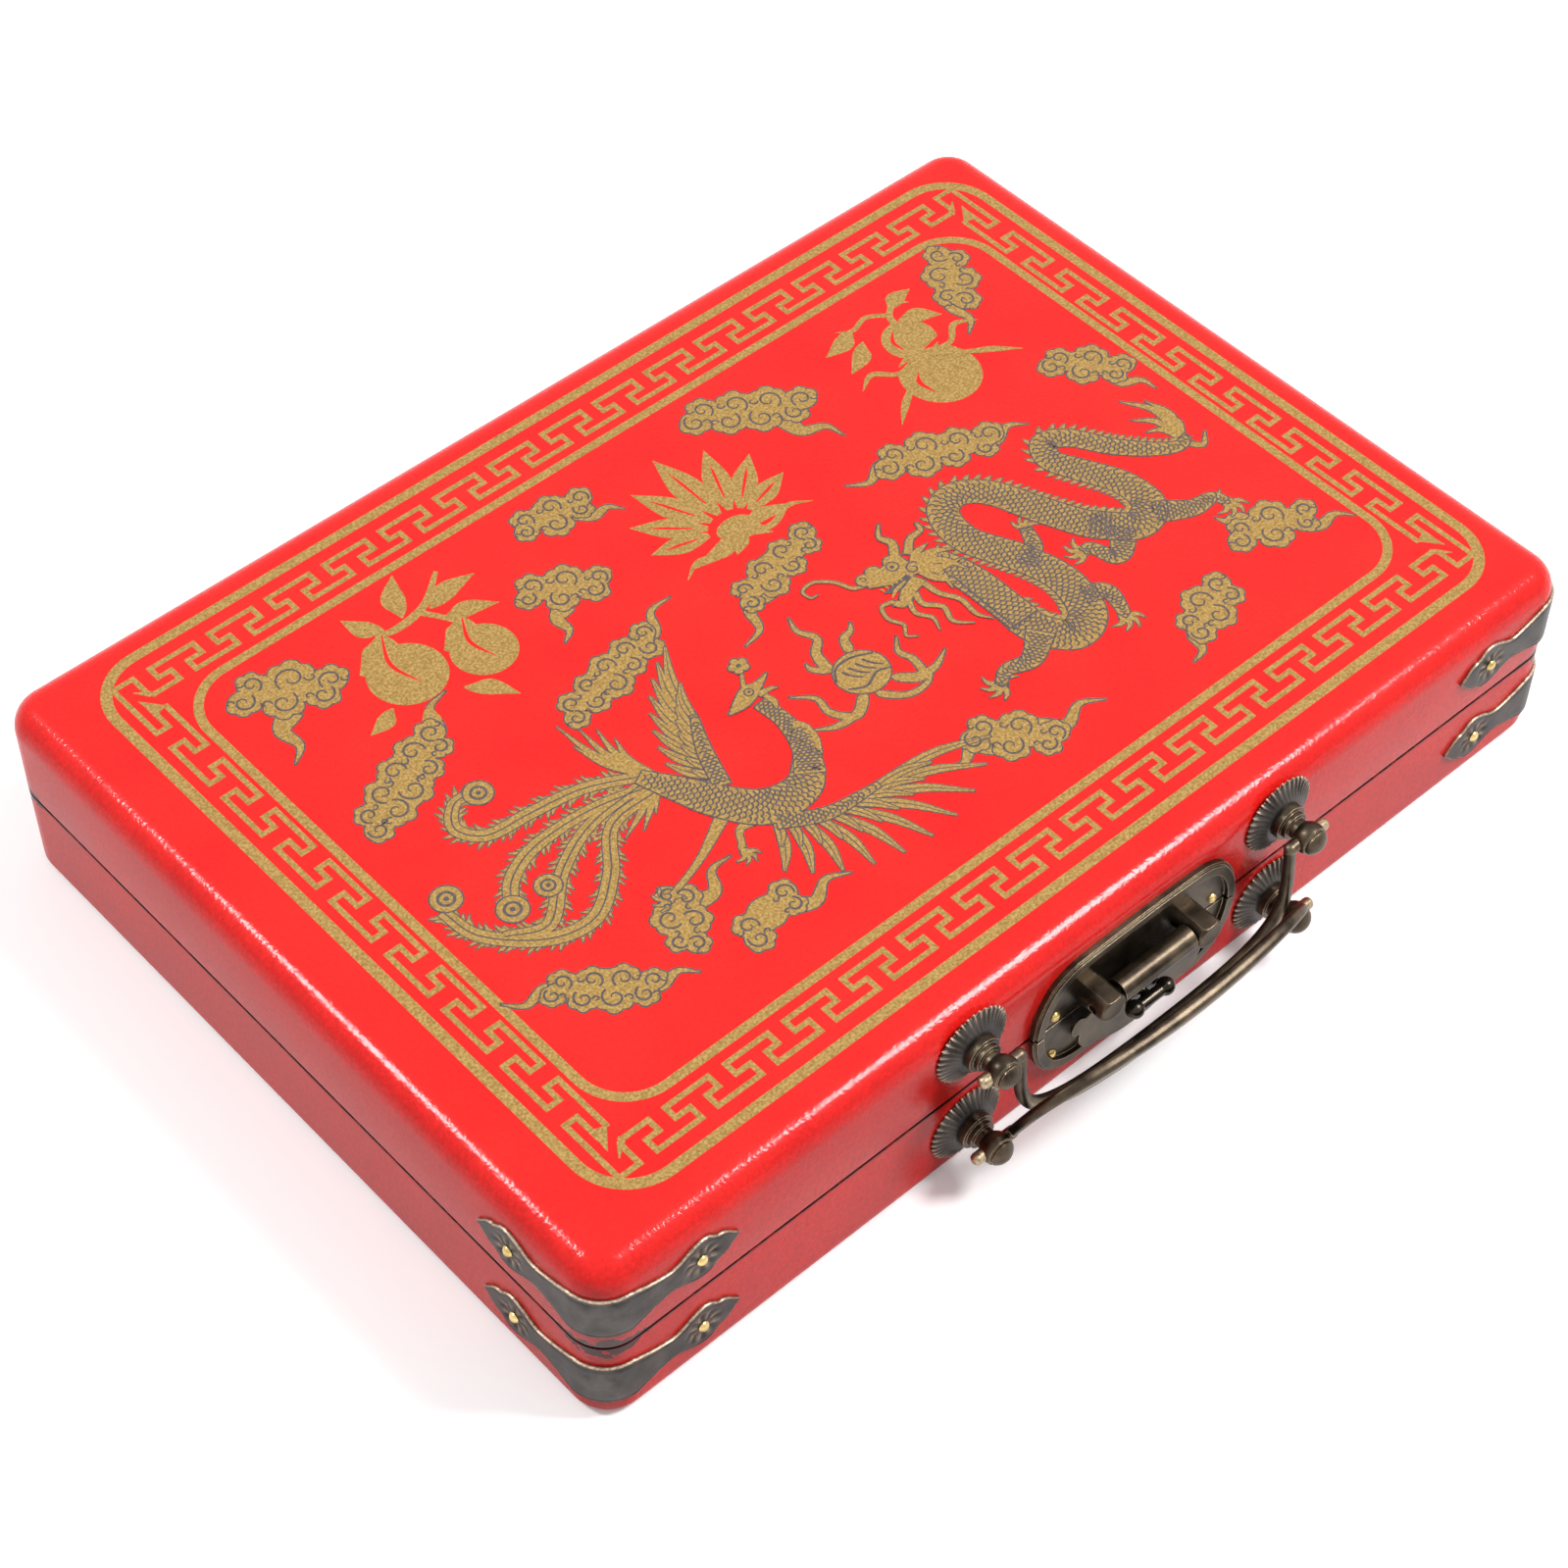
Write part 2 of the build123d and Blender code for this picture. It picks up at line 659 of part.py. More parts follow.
upper_plate = cut_away(latch_plate(1), upper_plate_nails + stud_shanks)
lower_plate = cut_away(latch_plate(-1), lower_plate_nails)
save("latch_upper_plate", upper_plate)
save("latch_lower_plate", lower_plate)
save("latch_upper_nails", *upper_plate_nails)
save("latch_lower_nails", *lower_plate_nails)
save("latch_strike", strike())
save("latch_studs", *studs)
save(
    "latch_hinge_pin",
    bar_along_x(
        latch_centre_x - stud_spacing / 2 - 0.8 * stud_radius,
        latch_centre_x + stud_spacing / 2 + 0.8 * stud_radius,
        front_y - barrel_standoff,
        barrel_z,
        hinge_pin_radius,
    ),
)
save("latch_flap", flap())
save("latch_knob", knob())
save("latch_cam", cam())


# --- Back hinges ---

def back_leaf(side, direction):
    """One hinge leaf on the back face with its share of the knuckles; direction +1 lid, -1 base."""
    centre_x = side * hinge_spacing / 2
    edge_z = seam_z + direction * seam_gap / 2
    leaf_low, leaf_high = sorted((edge_z, edge_z + direction * hinge_leaf_height))
    leaf = box_between(
        (centre_x - hinge_length / 2, back_y, leaf_low),
        (centre_x + hinge_length / 2, back_y + hinge_leaf_sheet, leaf_high),
    )
    pitch = hinge_length / knuckle_count
    own = [i for i in range(knuckle_count) if (i % 2 == 1) == (direction > 0)]
    for index in range(knuckle_count):
        low = centre_x - hinge_length / 2 + index * pitch
        if index in own:
            leaf = leaf + bar_along_x(low + knuckle_gap, low + pitch - knuckle_gap, hinge_axis_y, seam_z, knuckle_radius)
        else:
            leaf = leaf - bar_along_x(
                low - knuckle_gap, low + pitch + knuckle_gap, hinge_axis_y, seam_z, knuckle_radius + 2 * knuckle_wall_gap
            )
    bore_radius = back_pin_radius + (running_clearance if direction > 0 else 0)
    return leaf - bar_along_x(centre_x - hinge_length, centre_x + hinge_length, hinge_axis_y, seam_z, bore_radius)


for direction, half, nails in ((1, "lid", lid_hinge_nails), (-1, "base", base_hinge_nails)):
    for side, word in ((-1, "left"), (1, "right")):
        save(f"{half}_{word}_hinge_leaf", cut_away(back_leaf(side, direction), nails))
    save(f"{half}_hinge_nails", *nails)
pins = [
    bar_along_x(
        side * hinge_spacing / 2 - hinge_length / 2,
        side * hinge_spacing / 2 + hinge_length / 2,
        hinge_axis_y,
        seam_z,
        back_pin_radius,
    )
    for side in sides
]
save("hinge_pins", *pins)
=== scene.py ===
from math import cos, pi, radians, sin

import bpy
import numpy as np
from mathutils import Matrix, Vector


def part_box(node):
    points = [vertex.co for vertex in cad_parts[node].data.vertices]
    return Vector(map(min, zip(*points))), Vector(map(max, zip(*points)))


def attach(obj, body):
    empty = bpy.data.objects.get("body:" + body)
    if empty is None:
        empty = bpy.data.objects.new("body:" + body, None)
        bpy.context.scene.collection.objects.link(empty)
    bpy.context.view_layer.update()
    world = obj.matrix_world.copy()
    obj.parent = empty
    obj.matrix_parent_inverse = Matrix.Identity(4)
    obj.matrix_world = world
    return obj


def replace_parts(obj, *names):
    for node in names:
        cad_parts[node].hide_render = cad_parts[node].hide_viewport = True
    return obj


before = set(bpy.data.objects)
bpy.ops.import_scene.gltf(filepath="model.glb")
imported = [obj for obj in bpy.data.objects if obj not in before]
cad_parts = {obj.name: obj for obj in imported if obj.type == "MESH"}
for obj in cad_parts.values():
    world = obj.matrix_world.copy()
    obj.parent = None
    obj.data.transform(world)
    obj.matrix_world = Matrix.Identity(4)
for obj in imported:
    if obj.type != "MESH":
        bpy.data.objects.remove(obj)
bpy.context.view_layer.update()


# ---------------------------------------------------------------------------
# The studio: a plain white floor in a white room, a soft lamp over the handle side and
# a weaker one beyond the left side, and the camera high over the left front corner.

MM = 0.001  # places and sizes are in millimetres, as a case maker writes them, where nothing else is said
camera_lens = 78.85
camera_azimuth = radians(-42.574)
camera_height_angle = radians(49.588)
camera_roll = radians(0.614)
camera_distance = 885.67
camera_target = np.array([-3.345, 1.046, 0.0])

back = np.array(
    [
        sin(camera_azimuth) * cos(camera_height_angle),
        -cos(camera_azimuth) * cos(camera_height_angle),
        sin(camera_height_angle),
    ]
)
level = np.cross([0, 0, 1], back)
level /= np.linalg.norm(level)
upward = np.cross(back, level)
right = cos(camera_roll) * level + sin(camera_roll) * upward
above = cos(camera_roll) * upward - sin(camera_roll) * level
camera_data = bpy.data.cameras.new("camera")
camera_data.lens = camera_lens
camera_data.sensor_width = 36
camera_data.clip_start = 0.01
camera = bpy.data.objects.new("camera", camera_data)
bpy.context.scene.collection.objects.link(camera)
pose = np.eye(4)
pose[:3, 0], pose[:3, 1], pose[:3, 2] = right, above, back
pose[:3, 3] = (camera_target + back * camera_distance) * MM
camera.matrix_world = Matrix(pose.tolist())
bpy.context.scene.camera = camera

lamps_aim = Vector((0, 0, 0.03))


def soft_lamp(name, place, size, power):
    """A square soft lamp that faces the middle of the case; place and size in metres, power in watts."""
    data = bpy.data.lights.new(name, "AREA")
    data.shape = "SQUARE"
    data.size = size
    data.energy = power
    lamp = bpy.data.objects.new(name, data)
    bpy.context.scene.collection.objects.link(lamp)
    lamp.location = place
    lamp.rotation_euler = (lamps_aim - Vector(place)).to_track_quat("-Z", "Y").to_euler()


soft_lamp("front_edge_lamp", place=(1.02, -0.96, 1.84), size=0.56, power=46)
soft_lamp("left_edge_lamp", place=(-1.02, 1.08, 1.76), size=0.42, power=26)


def set_values(node, **values):
    """A node's settings by name, and its plain input values by socket name with _ for each space."""
    for key, value in values.items():
        if hasattr(node, key):
            setattr(node, key, value)
        else:
            node.inputs[key.replace("_", " ")].default_value = value


def add(tree, kind, links=(), **values):
    """A new node with its values and its incoming links of (socket name or number, source)."""
    node = tree.nodes.new(kind)
    set_values(node, **values)
    for target, source in links:
        tree.links.new(source, node.inputs[target])
    return node


def calc(tree, operation, *terms, clamp=False):
    """The result of a sum on terms that are sockets or plain numbers."""
    node = add(tree, "ShaderNodeMath", operation=operation, use_clamp=clamp)
    for socket, term in zip(node.inputs, terms):
        if isinstance(term, float):
            socket.default_value = term
        else:
            tree.links.new(term, socket)
    return node.outputs[0]


def remap(tree, value, **ends):
    """A value carried evenly from one span to another; ends that aren't given are 0 and 1."""
    return add(tree, "ShaderNodeMapRange", [("Value", value)], **ends).outputs["Result"]


def seen_rays(tree):
    """1 for rays from the camera, from a gloss or through a glass, 0 for light that falls on things."""
    rays = add(tree, "ShaderNodeLightPath")
    answer = rays.outputs["Is Camera Ray"]
    for kind in ("Is Glossy Ray", "Is Transmission Ray"):
        answer = calc(tree, "MAXIMUM", answer, rays.outputs[kind])
    return answer


world = bpy.data.worlds.new("white_room")
bpy.context.scene.world = world
world.use_nodes = True
room_tree = world.node_tree
room = room_tree.nodes["Background"]
room.inputs["Color"].default_value = (0.98, 0.99, 1.0, 1)
direction = add(room_tree, "ShaderNodeTexCoord")
height_axis = add(room_tree, "ShaderNodeSeparateXYZ", [(0, direction.outputs["Generated"])])
ceiling = remap(
    room_tree, height_axis.outputs["Z"], From_Min=0.55, From_Max=0.86, To_Min=0.18, To_Max=0.78
)
room_tree.links.new(ceiling, room.inputs["Strength"])
white = add(room_tree, "ShaderNodeBackground", Color=(1, 1, 1, 1))
choose = add(
    room_tree,
    "ShaderNodeMixShader",
    [(0, seen_rays(room_tree)), (1, room.outputs[0]), (2, white.outputs[0])],
)
room_tree.links.new(choose.outputs[0], room_tree.nodes["World Output"].inputs["Surface"])
bpy.context.scene.view_settings.view_transform = "Standard"


def new_material(name):
    """A node material with its tree, its main shader and its Object coordinates."""
    material = bpy.data.materials.new(name)
    material.use_nodes = True
    tree = material.node_tree
    place = add(tree, "ShaderNodeTexCoord")
    return material, tree, tree.nodes["Principled BSDF"], place.outputs["Object"]


white_paper, paper_tree, paper = new_material("white_paper")[:3]
set_values(paper, Roughness=0.9, Specular_IOR_Level=0.1, Emission_Color=(1, 1, 1, 1))
floor_seen = seen_rays(paper_tree)
for target, unlooked_at, looked_at in (("Base Color", 0.26, 0.96), ("Emission Strength", 0.0, 0.16)):
    tone = remap(paper_tree, floor_seen, To_Min=unlooked_at, To_Max=looked_at)
    paper_tree.links.new(tone, paper.inputs[target])
paper_fibre = add(paper_tree, "ShaderNodeTexNoise", Scale=300.0)
paper_bump = add(paper_tree, "ShaderNodeBump", [("Height", paper_fibre.outputs["Fac"])], Strength=0.03)
paper_tree.links.new(paper_bump.outputs[0], paper.inputs["Normal"])
floor_reach = 6
floor_corners = [(x * floor_reach, y * floor_reach, 0) for x, y in ((-1, -1), (1, -1), (1, 1), (-1, 1))]
floor_mesh = bpy.data.meshes.new("floor")
floor_mesh.from_pydata(floor_corners, [], [(0, 1, 2, 3)])
floor_mesh.materials.append(white_paper)
floor = bpy.data.objects.new("floor", floor_mesh)
bpy.context.scene.collection.objects.link(floor)


# ---------------------------------------------------------------------------
# The two leather covers: one piece of glossy red leather cloth pulled over each
# wooden half, round its edges and turned in over the rim.


def surface(name, points, material, crease=35):
    """A grid of rows and columns of points in millimetres, made a smooth closed shell.

    Neighbouring points are joined by quads, each row closes on itself, and the first and the last row
    each get one flat cap. A shell that comes out with a negative volume is turned over.
    """
    points = np.asarray(points, float)
    rows, columns = points.shape[:2]
    index = np.arange(rows * columns).reshape(rows, columns)
    index = np.hstack([index, index[:, :1]])
    quads = np.stack([index[:-1, :-1], index[:-1, 1:], index[1:, 1:], index[1:, :-1]], -1).reshape(-1, 4)
    flat = points.reshape(-1, 3)
    a, b, c, d = (flat[quads[:, k]] for k in range(4))
    volume = np.einsum("ij,ij->i", a, np.cross(b, c)).sum() + np.einsum("ij,ij->i", a, np.cross(c, d)).sum()
    faces = [tuple(q) for q in quads.tolist()]
    for ring in (index[0, -2::-1], index[-1, :-1]):
        faces.append(tuple(ring.tolist()))
        ends = flat[ring]
        volume += (np.cross(ends[1:-1], ends[2:]) @ ends[0]).sum()
    if volume < 0:
        faces = [f[::-1] for f in faces]
    mesh = bpy.data.meshes.new(name)
    mesh.from_pydata((flat * MM).tolist(), [], faces)
    mesh.polygons.foreach_set("use_smooth", np.ones(len(mesh.polygons), bool))
    mesh.set_sharp_from_angle(angle=radians(crease))
    mesh.materials.append(material)
    piece = bpy.data.objects.new(name, mesh)
    bpy.context.scene.collection.objects.link(piece)
    return piece


def node_group(name, inputs, outputs):
    """An empty shader group: one vector, numbers in by (name, default), and numbers out by name."""
    group = bpy.data.node_groups.new(name, "ShaderNodeTree")
    group.interface.new_socket("Vector", in_out="INPUT", socket_type="NodeSocketVector")
    for label, value in inputs:
        socket = group.interface.new_socket(label, in_out="INPUT", socket_type="NodeSocketFloat")
        socket.default_value = value
    for label in outputs:
        group.interface.new_socket(label, in_out="OUTPUT", socket_type="NodeSocketFloat")
    return group, group.nodes.new("NodeGroupInput"), group.nodes.new("NodeGroupOutput")


def noise(tree, place, scale, detail):
    """A cloudy value between 0 and 1; a higher scale is finer."""
    return add(tree, "ShaderNodeTexNoise", [("Vector", place)], Scale=scale, Detail=detail).outputs["Fac"]


# Leather grain: fine pebbles of two sizes, and a slow unevenness of the pulled skin.
leather_grain, grain_in, grain_out = node_group(
    "leather_grain", [("Pebbles", 1400.0), ("Depth", 0.5)], ["Height", "Uneven"]
)
grain_place = grain_in.outputs["Vector"]
pebbles = add(
    leather_grain,
    "ShaderNodeTexVoronoi",
    [("Vector", grain_place), ("Scale", grain_in.outputs["Pebbles"])],
    feature="SMOOTH_F1",
)
pebble_depth = calc(leather_grain, "MULTIPLY", pebbles.outputs["Distance"], grain_in.outputs["Depth"])
grain_height = calc(leather_grain, "ADD", pebble_depth, noise(leather_grain, grain_place, 900.0, 2.0))
leather_grain.links.new(grain_height, grain_out.inputs["Height"])
leather_grain.links.new(noise(leather_grain, grain_place, 38.0, 3.0), grain_out.inputs["Uneven"])


def place_group(tree, group, vector, **values):
    """A shader group set in a material with its own values."""
    node = tree.nodes.new("ShaderNodeGroup")
    node.node_tree = group
    tree.links.new(vector, node.inputs["Vector"])
    set_values(node, **values)
    return node


def ramp(tree, source, stops):
    """The colour at a value between stops of (position, colour)."""
    node = add(tree, "ShaderNodeValToRGB", [("Fac", source)])
    ends = node.color_ramp.elements
    while len(ends) < len(stops):
        ends.new(0.5)
    for element, (position, colour) in zip(ends, stops):
        element.position = position
        element.color = (*colour, 1)
    return node.outputs["Color"]


def blend(tree, share, colour, other):
    """A colour that goes over to one plain colour by a share between 0 and 1."""
    node = add(tree, "ShaderNodeMix", [(0, share), (6, colour)], data_type="RGBA")
    node.inputs[7].default_value = (*other, 1)
    return node.outputs[2]


def emboss(tree, shader, height, strength, distance, normal=()):
    """Raises the surface by a height that changes over it, and gives the normal that this leaves."""
    links = [("Height", height), *normal]
    bump = add(tree, "ShaderNodeBump", links, Strength=strength, Distance=distance)
    tree.links.new(bump.outputs[0], shader.inputs["Normal"])
    return bump.outputs[0]


leather, leather_tree, leather_shader, leather_place = new_material("glossy_red_leather")
grain = place_group(leather_tree, leather_grain, leather_place, Pebbles=1500.0, Depth=0.45)
skin = ramp(
    leather_tree, grain.outputs["Uneven"], [(0.3, (0.72, 0.010, 0.009)), (0.7, (0.86, 0.016, 0.012))]
)
speckle = remap(
    leather_tree, grain.outputs["Height"], From_Min=0.35, From_Max=0.95, To_Min=0.80, To_Max=1.10
)
dotted = add(leather_tree, "ShaderNodeVectorMath", [(0, skin), ("Scale", speckle)], operation="SCALE")

# A thin dark line along the seam is painted shade, standing in for the shade in the gap between the halves.
# The rim also darkens where the lacquer has cracked along the seam, most at the corners. The cracks show on
# the outer wall alone, which lies the corner's radius past the ends of the flat sides. The zones give,
# in metres from the middle, where cracks begin to reach further, where they reach furthest, and where
# the flat side ends.
seam_z = (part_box("base_leather_cover")[1].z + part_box("lid_leather_cover")[0].z) / 2
corner_zones = (("X", 0.1435, 0.1560, 0.1500), ("Y", 0.0960, 0.1085, 0.1025))
outer_wall = 0.0096
seam_shade_width = 0.0008
seam_shade_strength, darkest = 0.72, 0.96
axes = add(leather_tree, "ShaderNodeSeparateXYZ", [(0, leather_place)])
near_seam = calc(leather_tree, "ABSOLUTE", calc(leather_tree, "SUBTRACT", axes.outputs["Z"], seam_z))
corner_reach, past_flats = [], []
for axis, begin, finish, flat_end in corner_zones:
    from_middle = calc(leather_tree, "ABSOLUTE", axes.outputs[axis])
    corner_reach.append(remap(leather_tree, from_middle, From_Min=begin, From_Max=finish))
    past_flats.append(calc(leather_tree, "SUBTRACT", from_middle, flat_end, clamp=True))
at_corner = calc(leather_tree, "MULTIPLY", *corner_reach)
crack_reach = remap(leather_tree, at_corner, To_Min=0.0005, To_Max=0.0042)
crack_noise = noise(leather_tree, leather_place, 330.0, 8.0)
crack_share = remap(leather_tree, crack_noise, From_Min=0.30, From_Max=0.60)
cracked = calc(leather_tree, "LESS_THAN", near_seam, calc(leather_tree, "MULTIPLY", crack_share, crack_reach))
past_corner = add(leather_tree, "ShaderNodeCombineXYZ", [("X", past_flats[0]), ("Y", past_flats[1])])
past_length = add(leather_tree, "ShaderNodeVectorMath", [(0, past_corner.outputs[0])], operation="LENGTH")
on_wall = calc(leather_tree, "GREATER_THAN", past_length.outputs["Value"], outer_wall)
wall_crack = calc(leather_tree, "MULTIPLY", cracked, on_wall)
# Painted shade: a dark line 0.8 mm each side of the seam stands in for the shade in the gap between the
# halves.
seam_shade_line = calc(leather_tree, "LESS_THAN", near_seam, seam_shade_width)
cracks_and_seam_shade = calc(leather_tree, "MULTIPLY_ADD", seam_shade_line, seam_shade_strength, wall_crack)
darkened = calc(leather_tree, "MINIMUM", cracks_and_seam_shade, darkest)
# The skin goes over to near black in the cracks, and along the seam line as painted shade.
cracked_and_seam_shaded_skin = blend(leather_tree, darkened, dotted.outputs[0], (0.035, 0.006, 0.006))
leather_tree.links.new(cracked_and_seam_shaded_skin, leather_shader.inputs["Base Color"])
gloss = remap(leather_tree, grain.outputs["Uneven"], To_Min=0.36, To_Max=0.46)
leather_tree.links.new(gloss, leather_shader.inputs["Roughness"])
leather_normal = emboss(leather_tree, leather_shader, grain.outputs["Height"], 0.32, 0.0002)
leather_tree.links.new(leather_normal, leather_shader.inputs["Coat Normal"])
set_values(leather_shader, Specular_IOR_Level=0.04, Coat_Weight=0.42, Coat_Roughness=0.14)

skin_thickness = 0.8
corner_radius = 10.0
lid_edge = 8.0
rim_round = 0.5
turned_in = 8.8
corner_steps = 20


def cover_shell(name, length, width, rim, far, edge):
    """A shell swept round a rounded rectangle.

    The outline is four corner arcs, and each profile point (inset, height) moves it inwards along its
    normals. The profile runs up the inside of the skin, over the rim and down the outside, where a
    quarter circle rounds the far edge.
    """
    up = 1 if far > rim else -1
    flank = abs(far - rim) - edge
    inside = edge - skin_thickness
    bend, roll = np.linspace(0, pi / 2, 17), np.linspace(0, pi / 2, 5)
    inner = np.column_stack([edge - inside * np.sin(bend), flank + inside * np.cos(bend)])
    fold = [(skin_thickness, skin_thickness), (turned_in, skin_thickness), (turned_in, 0)]
    lip = np.column_stack([rim_round * (1 - np.sin(roll)), rim_round * (1 - np.cos(roll))])
    outer = np.column_stack([edge - edge * np.cos(bend), flank + edge * np.sin(bend)])
    profile = np.vstack([inner, fold, lip, outer])
    corner_x, corner_y = np.array([(1, 1), (-1, 1), (-1, -1), (1, -1)]).T[:, :, None]
    a = np.arange(4)[:, None] * pi / 2 + np.linspace(0, pi / 2, corner_steps)
    centre_x = corner_x * (length / 2 - corner_radius) + 0 * a
    centre_y = corner_y * (width / 2 - corner_radius) + 0 * a
    ring = np.stack([centre_x, centre_y, np.cos(a), np.sin(a)], 2).reshape(-1, 4)
    reach = corner_radius - profile[:, 0]
    x = ring[None, :, 0] + reach[:, None] * ring[None, :, 2]
    y = ring[None, :, 1] + reach[:, None] * ring[None, :, 3]
    z = (rim + up * profile[:, 1])[:, None] + 0 * x
    return surface(name, np.stack([x, y, z], 2), leather)


def dress(material, *names):
    """Gives carried-over CAD nodes their finish."""
    for name in names:
        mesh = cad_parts[name].data
        mesh.materials.clear()
        mesh.materials.append(material)


lid_low, lid_high = (np.array(corner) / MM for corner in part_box("lid_leather_cover"))
case_length, case_width = lid_high[0] - lid_low[0], lid_high[1] - lid_low[1]
lid_skin = cover_shell("lid_cover_skin", case_length, case_width, lid_low[2], lid_high[2], lid_edge)
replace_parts(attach(lid_skin, "case_lid"), "lid_leather_cover")
dress(leather, "base_leather_cover")


# ---------------------------------------------------------------------------
# The wooden halves, the flocked trays and the felt under the case: plain board, short
# dark red fibres blown on glue, and black felt glued under the base.

wood, wood_tree, wood_shader, wood_place = new_material("plain_board")
stretch = add(wood_tree, "ShaderNodeMapping", [("Vector", wood_place)], Scale=(1.0, 14.0, 14.0))
rings = noise(wood_tree, stretch.outputs[0], 22.0, 6.0)
board = ramp(wood_tree, rings, [(0.35, (0.30, 0.17, 0.08)), (0.65, (0.52, 0.34, 0.18))])
wood_tree.links.new(board, wood_shader.inputs["Base Color"])
emboss(wood_tree, wood_shader, rings, 0.3, 0.0003)
wood_shader.inputs["Roughness"].default_value = 0.6


def cloth_material(name, dark, light, fibres, depth):
    """Short fibres: noise so fine that it reads as pile, with a soft mottle over it."""
    material, tree, shader, place = new_material(name)
    pile = noise(tree, place, fibres, 4.0)
    shade = calc(tree, "MULTIPLY", pile, noise(tree, place, 60.0, 3.0))
    tree.links.new(ramp(tree, shade, [(0.15, dark), (0.4, light)]), shader.inputs["Base Color"])
    emboss(tree, shader, pile, 0.6, depth)
    set_values(shader, Roughness=0.95, Sheen_Weight=0.4)
    return material


flock = cloth_material("dark_red_flock", (0.10, 0.004, 0.008), (0.22, 0.010, 0.016), 2600.0, 0.0003)
felt = cloth_material("black_felt", (0.008, 0.008, 0.009), (0.030, 0.030, 0.032), 1700.0, 0.0004)

for half in ("lid", "base"):
    boards = ("panel", "front_wall", "back_wall", "left_wall", "right_wall")
    dress(wood, *(f"{half}_{part}" for part in boards))
    dress(flock, f"{half}_tile_tray")
dress(felt, "base_felt")


# ---------------------------------------------------------------------------
# The gold print on the lid: two plain bands with rounded corners, a running fret
# between them, and a traditional scene in a gold colour with dark outlines.

print_centre = np.array([3.4, 1.0])
# Each band: half length, half width, corner radius and line width.
outer_band = (145.2, 100.2, 14.5, 2.9)
inner_band = (130.5, 82.5, 14.0, 2.5)
fret_outer = np.array([140.4, 94.4])
fret_line = 1.45
print_lift = 0.02
layer_step = 0.012
strip_step, strip_steps = 0.0003, 37  # keeps overlapping strips of one layer apart
outline_grow = 0.42

gold, gold_tree, gold_shader, gold_place = new_material("printed_gold")
flecks = noise(gold_tree, gold_place, 1500.0, 4.0)
foil_tones = [(0.34, (0.25, 0.140, 0.030)), (0.5, (0.36, 0.215, 0.052)), (0.66, (0.48, 0.31, 0.095))]
gold_tree.links.new(ramp(gold_tree, flecks, foil_tones), gold_shader.inputs["Base Color"])
emboss(gold_tree, gold_shader, flecks, 0.35, 0.0001)
set_values(gold_shader, Metallic=0.25, Roughness=0.45)

ink, ink_tree, ink_shader, ink_place = new_material("printed_dark_line")
ink_tones = [(0.35, (0.050, 0.036, 0.036)), (0.65, (0.110, 0.080, 0.078))]
ink_colour = ramp(ink_tree, noise(ink_tree, ink_place, 1200.0, 3.0), ink_tones)
ink_tree.links.new(ink_colour, ink_shader.inputs["Base Color"])
ink_shader.inputs["Roughness"].default_value = 0.5

strips = {"gold": [], "line": [], "red": []}


def spline(points, per=7):
    """Catmull-Rom: each span is a cubic through its ends, sloped along the chord of its neighbours."""
    p = np.asarray(points, float)
    p = np.vstack([2 * p[0] - p[1], p, 2 * p[-1] - p[-2]])
    t = np.linspace(0, 1, per, endpoint=False)[:, None]
    spans = [
        0.5 * (2 * b + (c - a) * t + (2 * a - 5 * b + 4 * c - d) * t**2 + (3 * b - a - 3 * c + d) * t**3)
        for a, b, c, d in zip(p[:-3], p[1:-2], p[2:-1], p[3:])
    ]
    return np.vstack(spans + [p[-2:-1]])


def ribbon(ink_name, points, layer, grow=0.0, per=7, curved=True):
    """A flat strip along a line of (x, y, width): each side lies half the width from the line."""
    path = spline(points, per) if curved else np.asarray(points, float)
    slope = np.gradient(path[:, :2], axis=0)
    slope /= np.linalg.norm(slope, axis=1)[:, None] + 1e-9
    if grow:
        path = path.copy()
        path[0, :2] -= slope[0] * grow
        path[-1, :2] += slope[-1] * grow
    across = np.stack([-slope[:, 1], slope[:, 0]], 1) * (path[:, 2:3] / 2 + grow)
    strips[ink_name].append((layer, np.stack([path[:, :2] - across, path[:, :2] + across], 1)))


def disc(ink_name, x, y, radius, layer, grow=0.0, squash=1.0):
    """A round or oval patch: chords across it at even angles."""
    a = np.linspace(0, pi, 15)
    r = radius + grow
    lower, upper = (np.stack([x - r * np.cos(a), y + way * squash * r * np.sin(a)], 1) for way in (-1, 1))
    strips[ink_name].append((layer, np.stack([lower, upper], 1)))


def painted(points, layer, grow=outline_grow, per=7):
    """A gold strip with a dark outline under it."""
    ribbon("line", points, layer, grow, per)
    ribbon("gold", points, layer + 1, 0, per)


def painted_disc(x, y, radius, layer, squash=1.0):
    """A gold patch with a dark outline under it."""
    disc("line", x, y, radius, layer, outline_grow, squash)
    disc("gold", x, y, radius, layer + 1, 0, squash)


def band(half_length, half_width, radius, width):
    """A closed band: straight sides and four quarter circles."""
    corner_x, corner_y = np.array([(1, 1), (-1, 1), (-1, -1), (1, -1)]).T[:, :, None]
    a = np.arange(4)[:, None] * pi / 2 + np.linspace(0, pi / 2, 13)
    x = print_centre[0] + corner_x * (half_length - radius) + radius * np.cos(a)
    y = print_centre[1] + corner_y * (half_width - radius) + radius * np.sin(a)
    path = np.stack([x, y, width + 0 * x], 2).reshape(-1, 3)
    ribbon("gold", np.vstack([path, path[:1]]), 0, curved=False)


band(*outer_band)
band(*inner_band)


bar_end = 0.727  # where a bar of the fret ends, as a share of one unit


def fret_path(start, run, across, period, count):
    """The running fret: bar, half step back, bar on the other side and half step back, up to its last bar."""
    shape = [(0, 0), (bar_end, 0), (bar_end, 0.52), (0.487, 0.52)]
    shape += [(0.487, 1), (1.197, 1), (1.197, 0.52), (1, 0.52)]
    far, up = np.array(shape).T
    far = (np.arange(count)[:, None] + far).reshape(-1, 1)
    points = start + run * period * far + across * np.tile(up, count)[:, None]
    return points[: (count - 1) * len(shape) + 2]


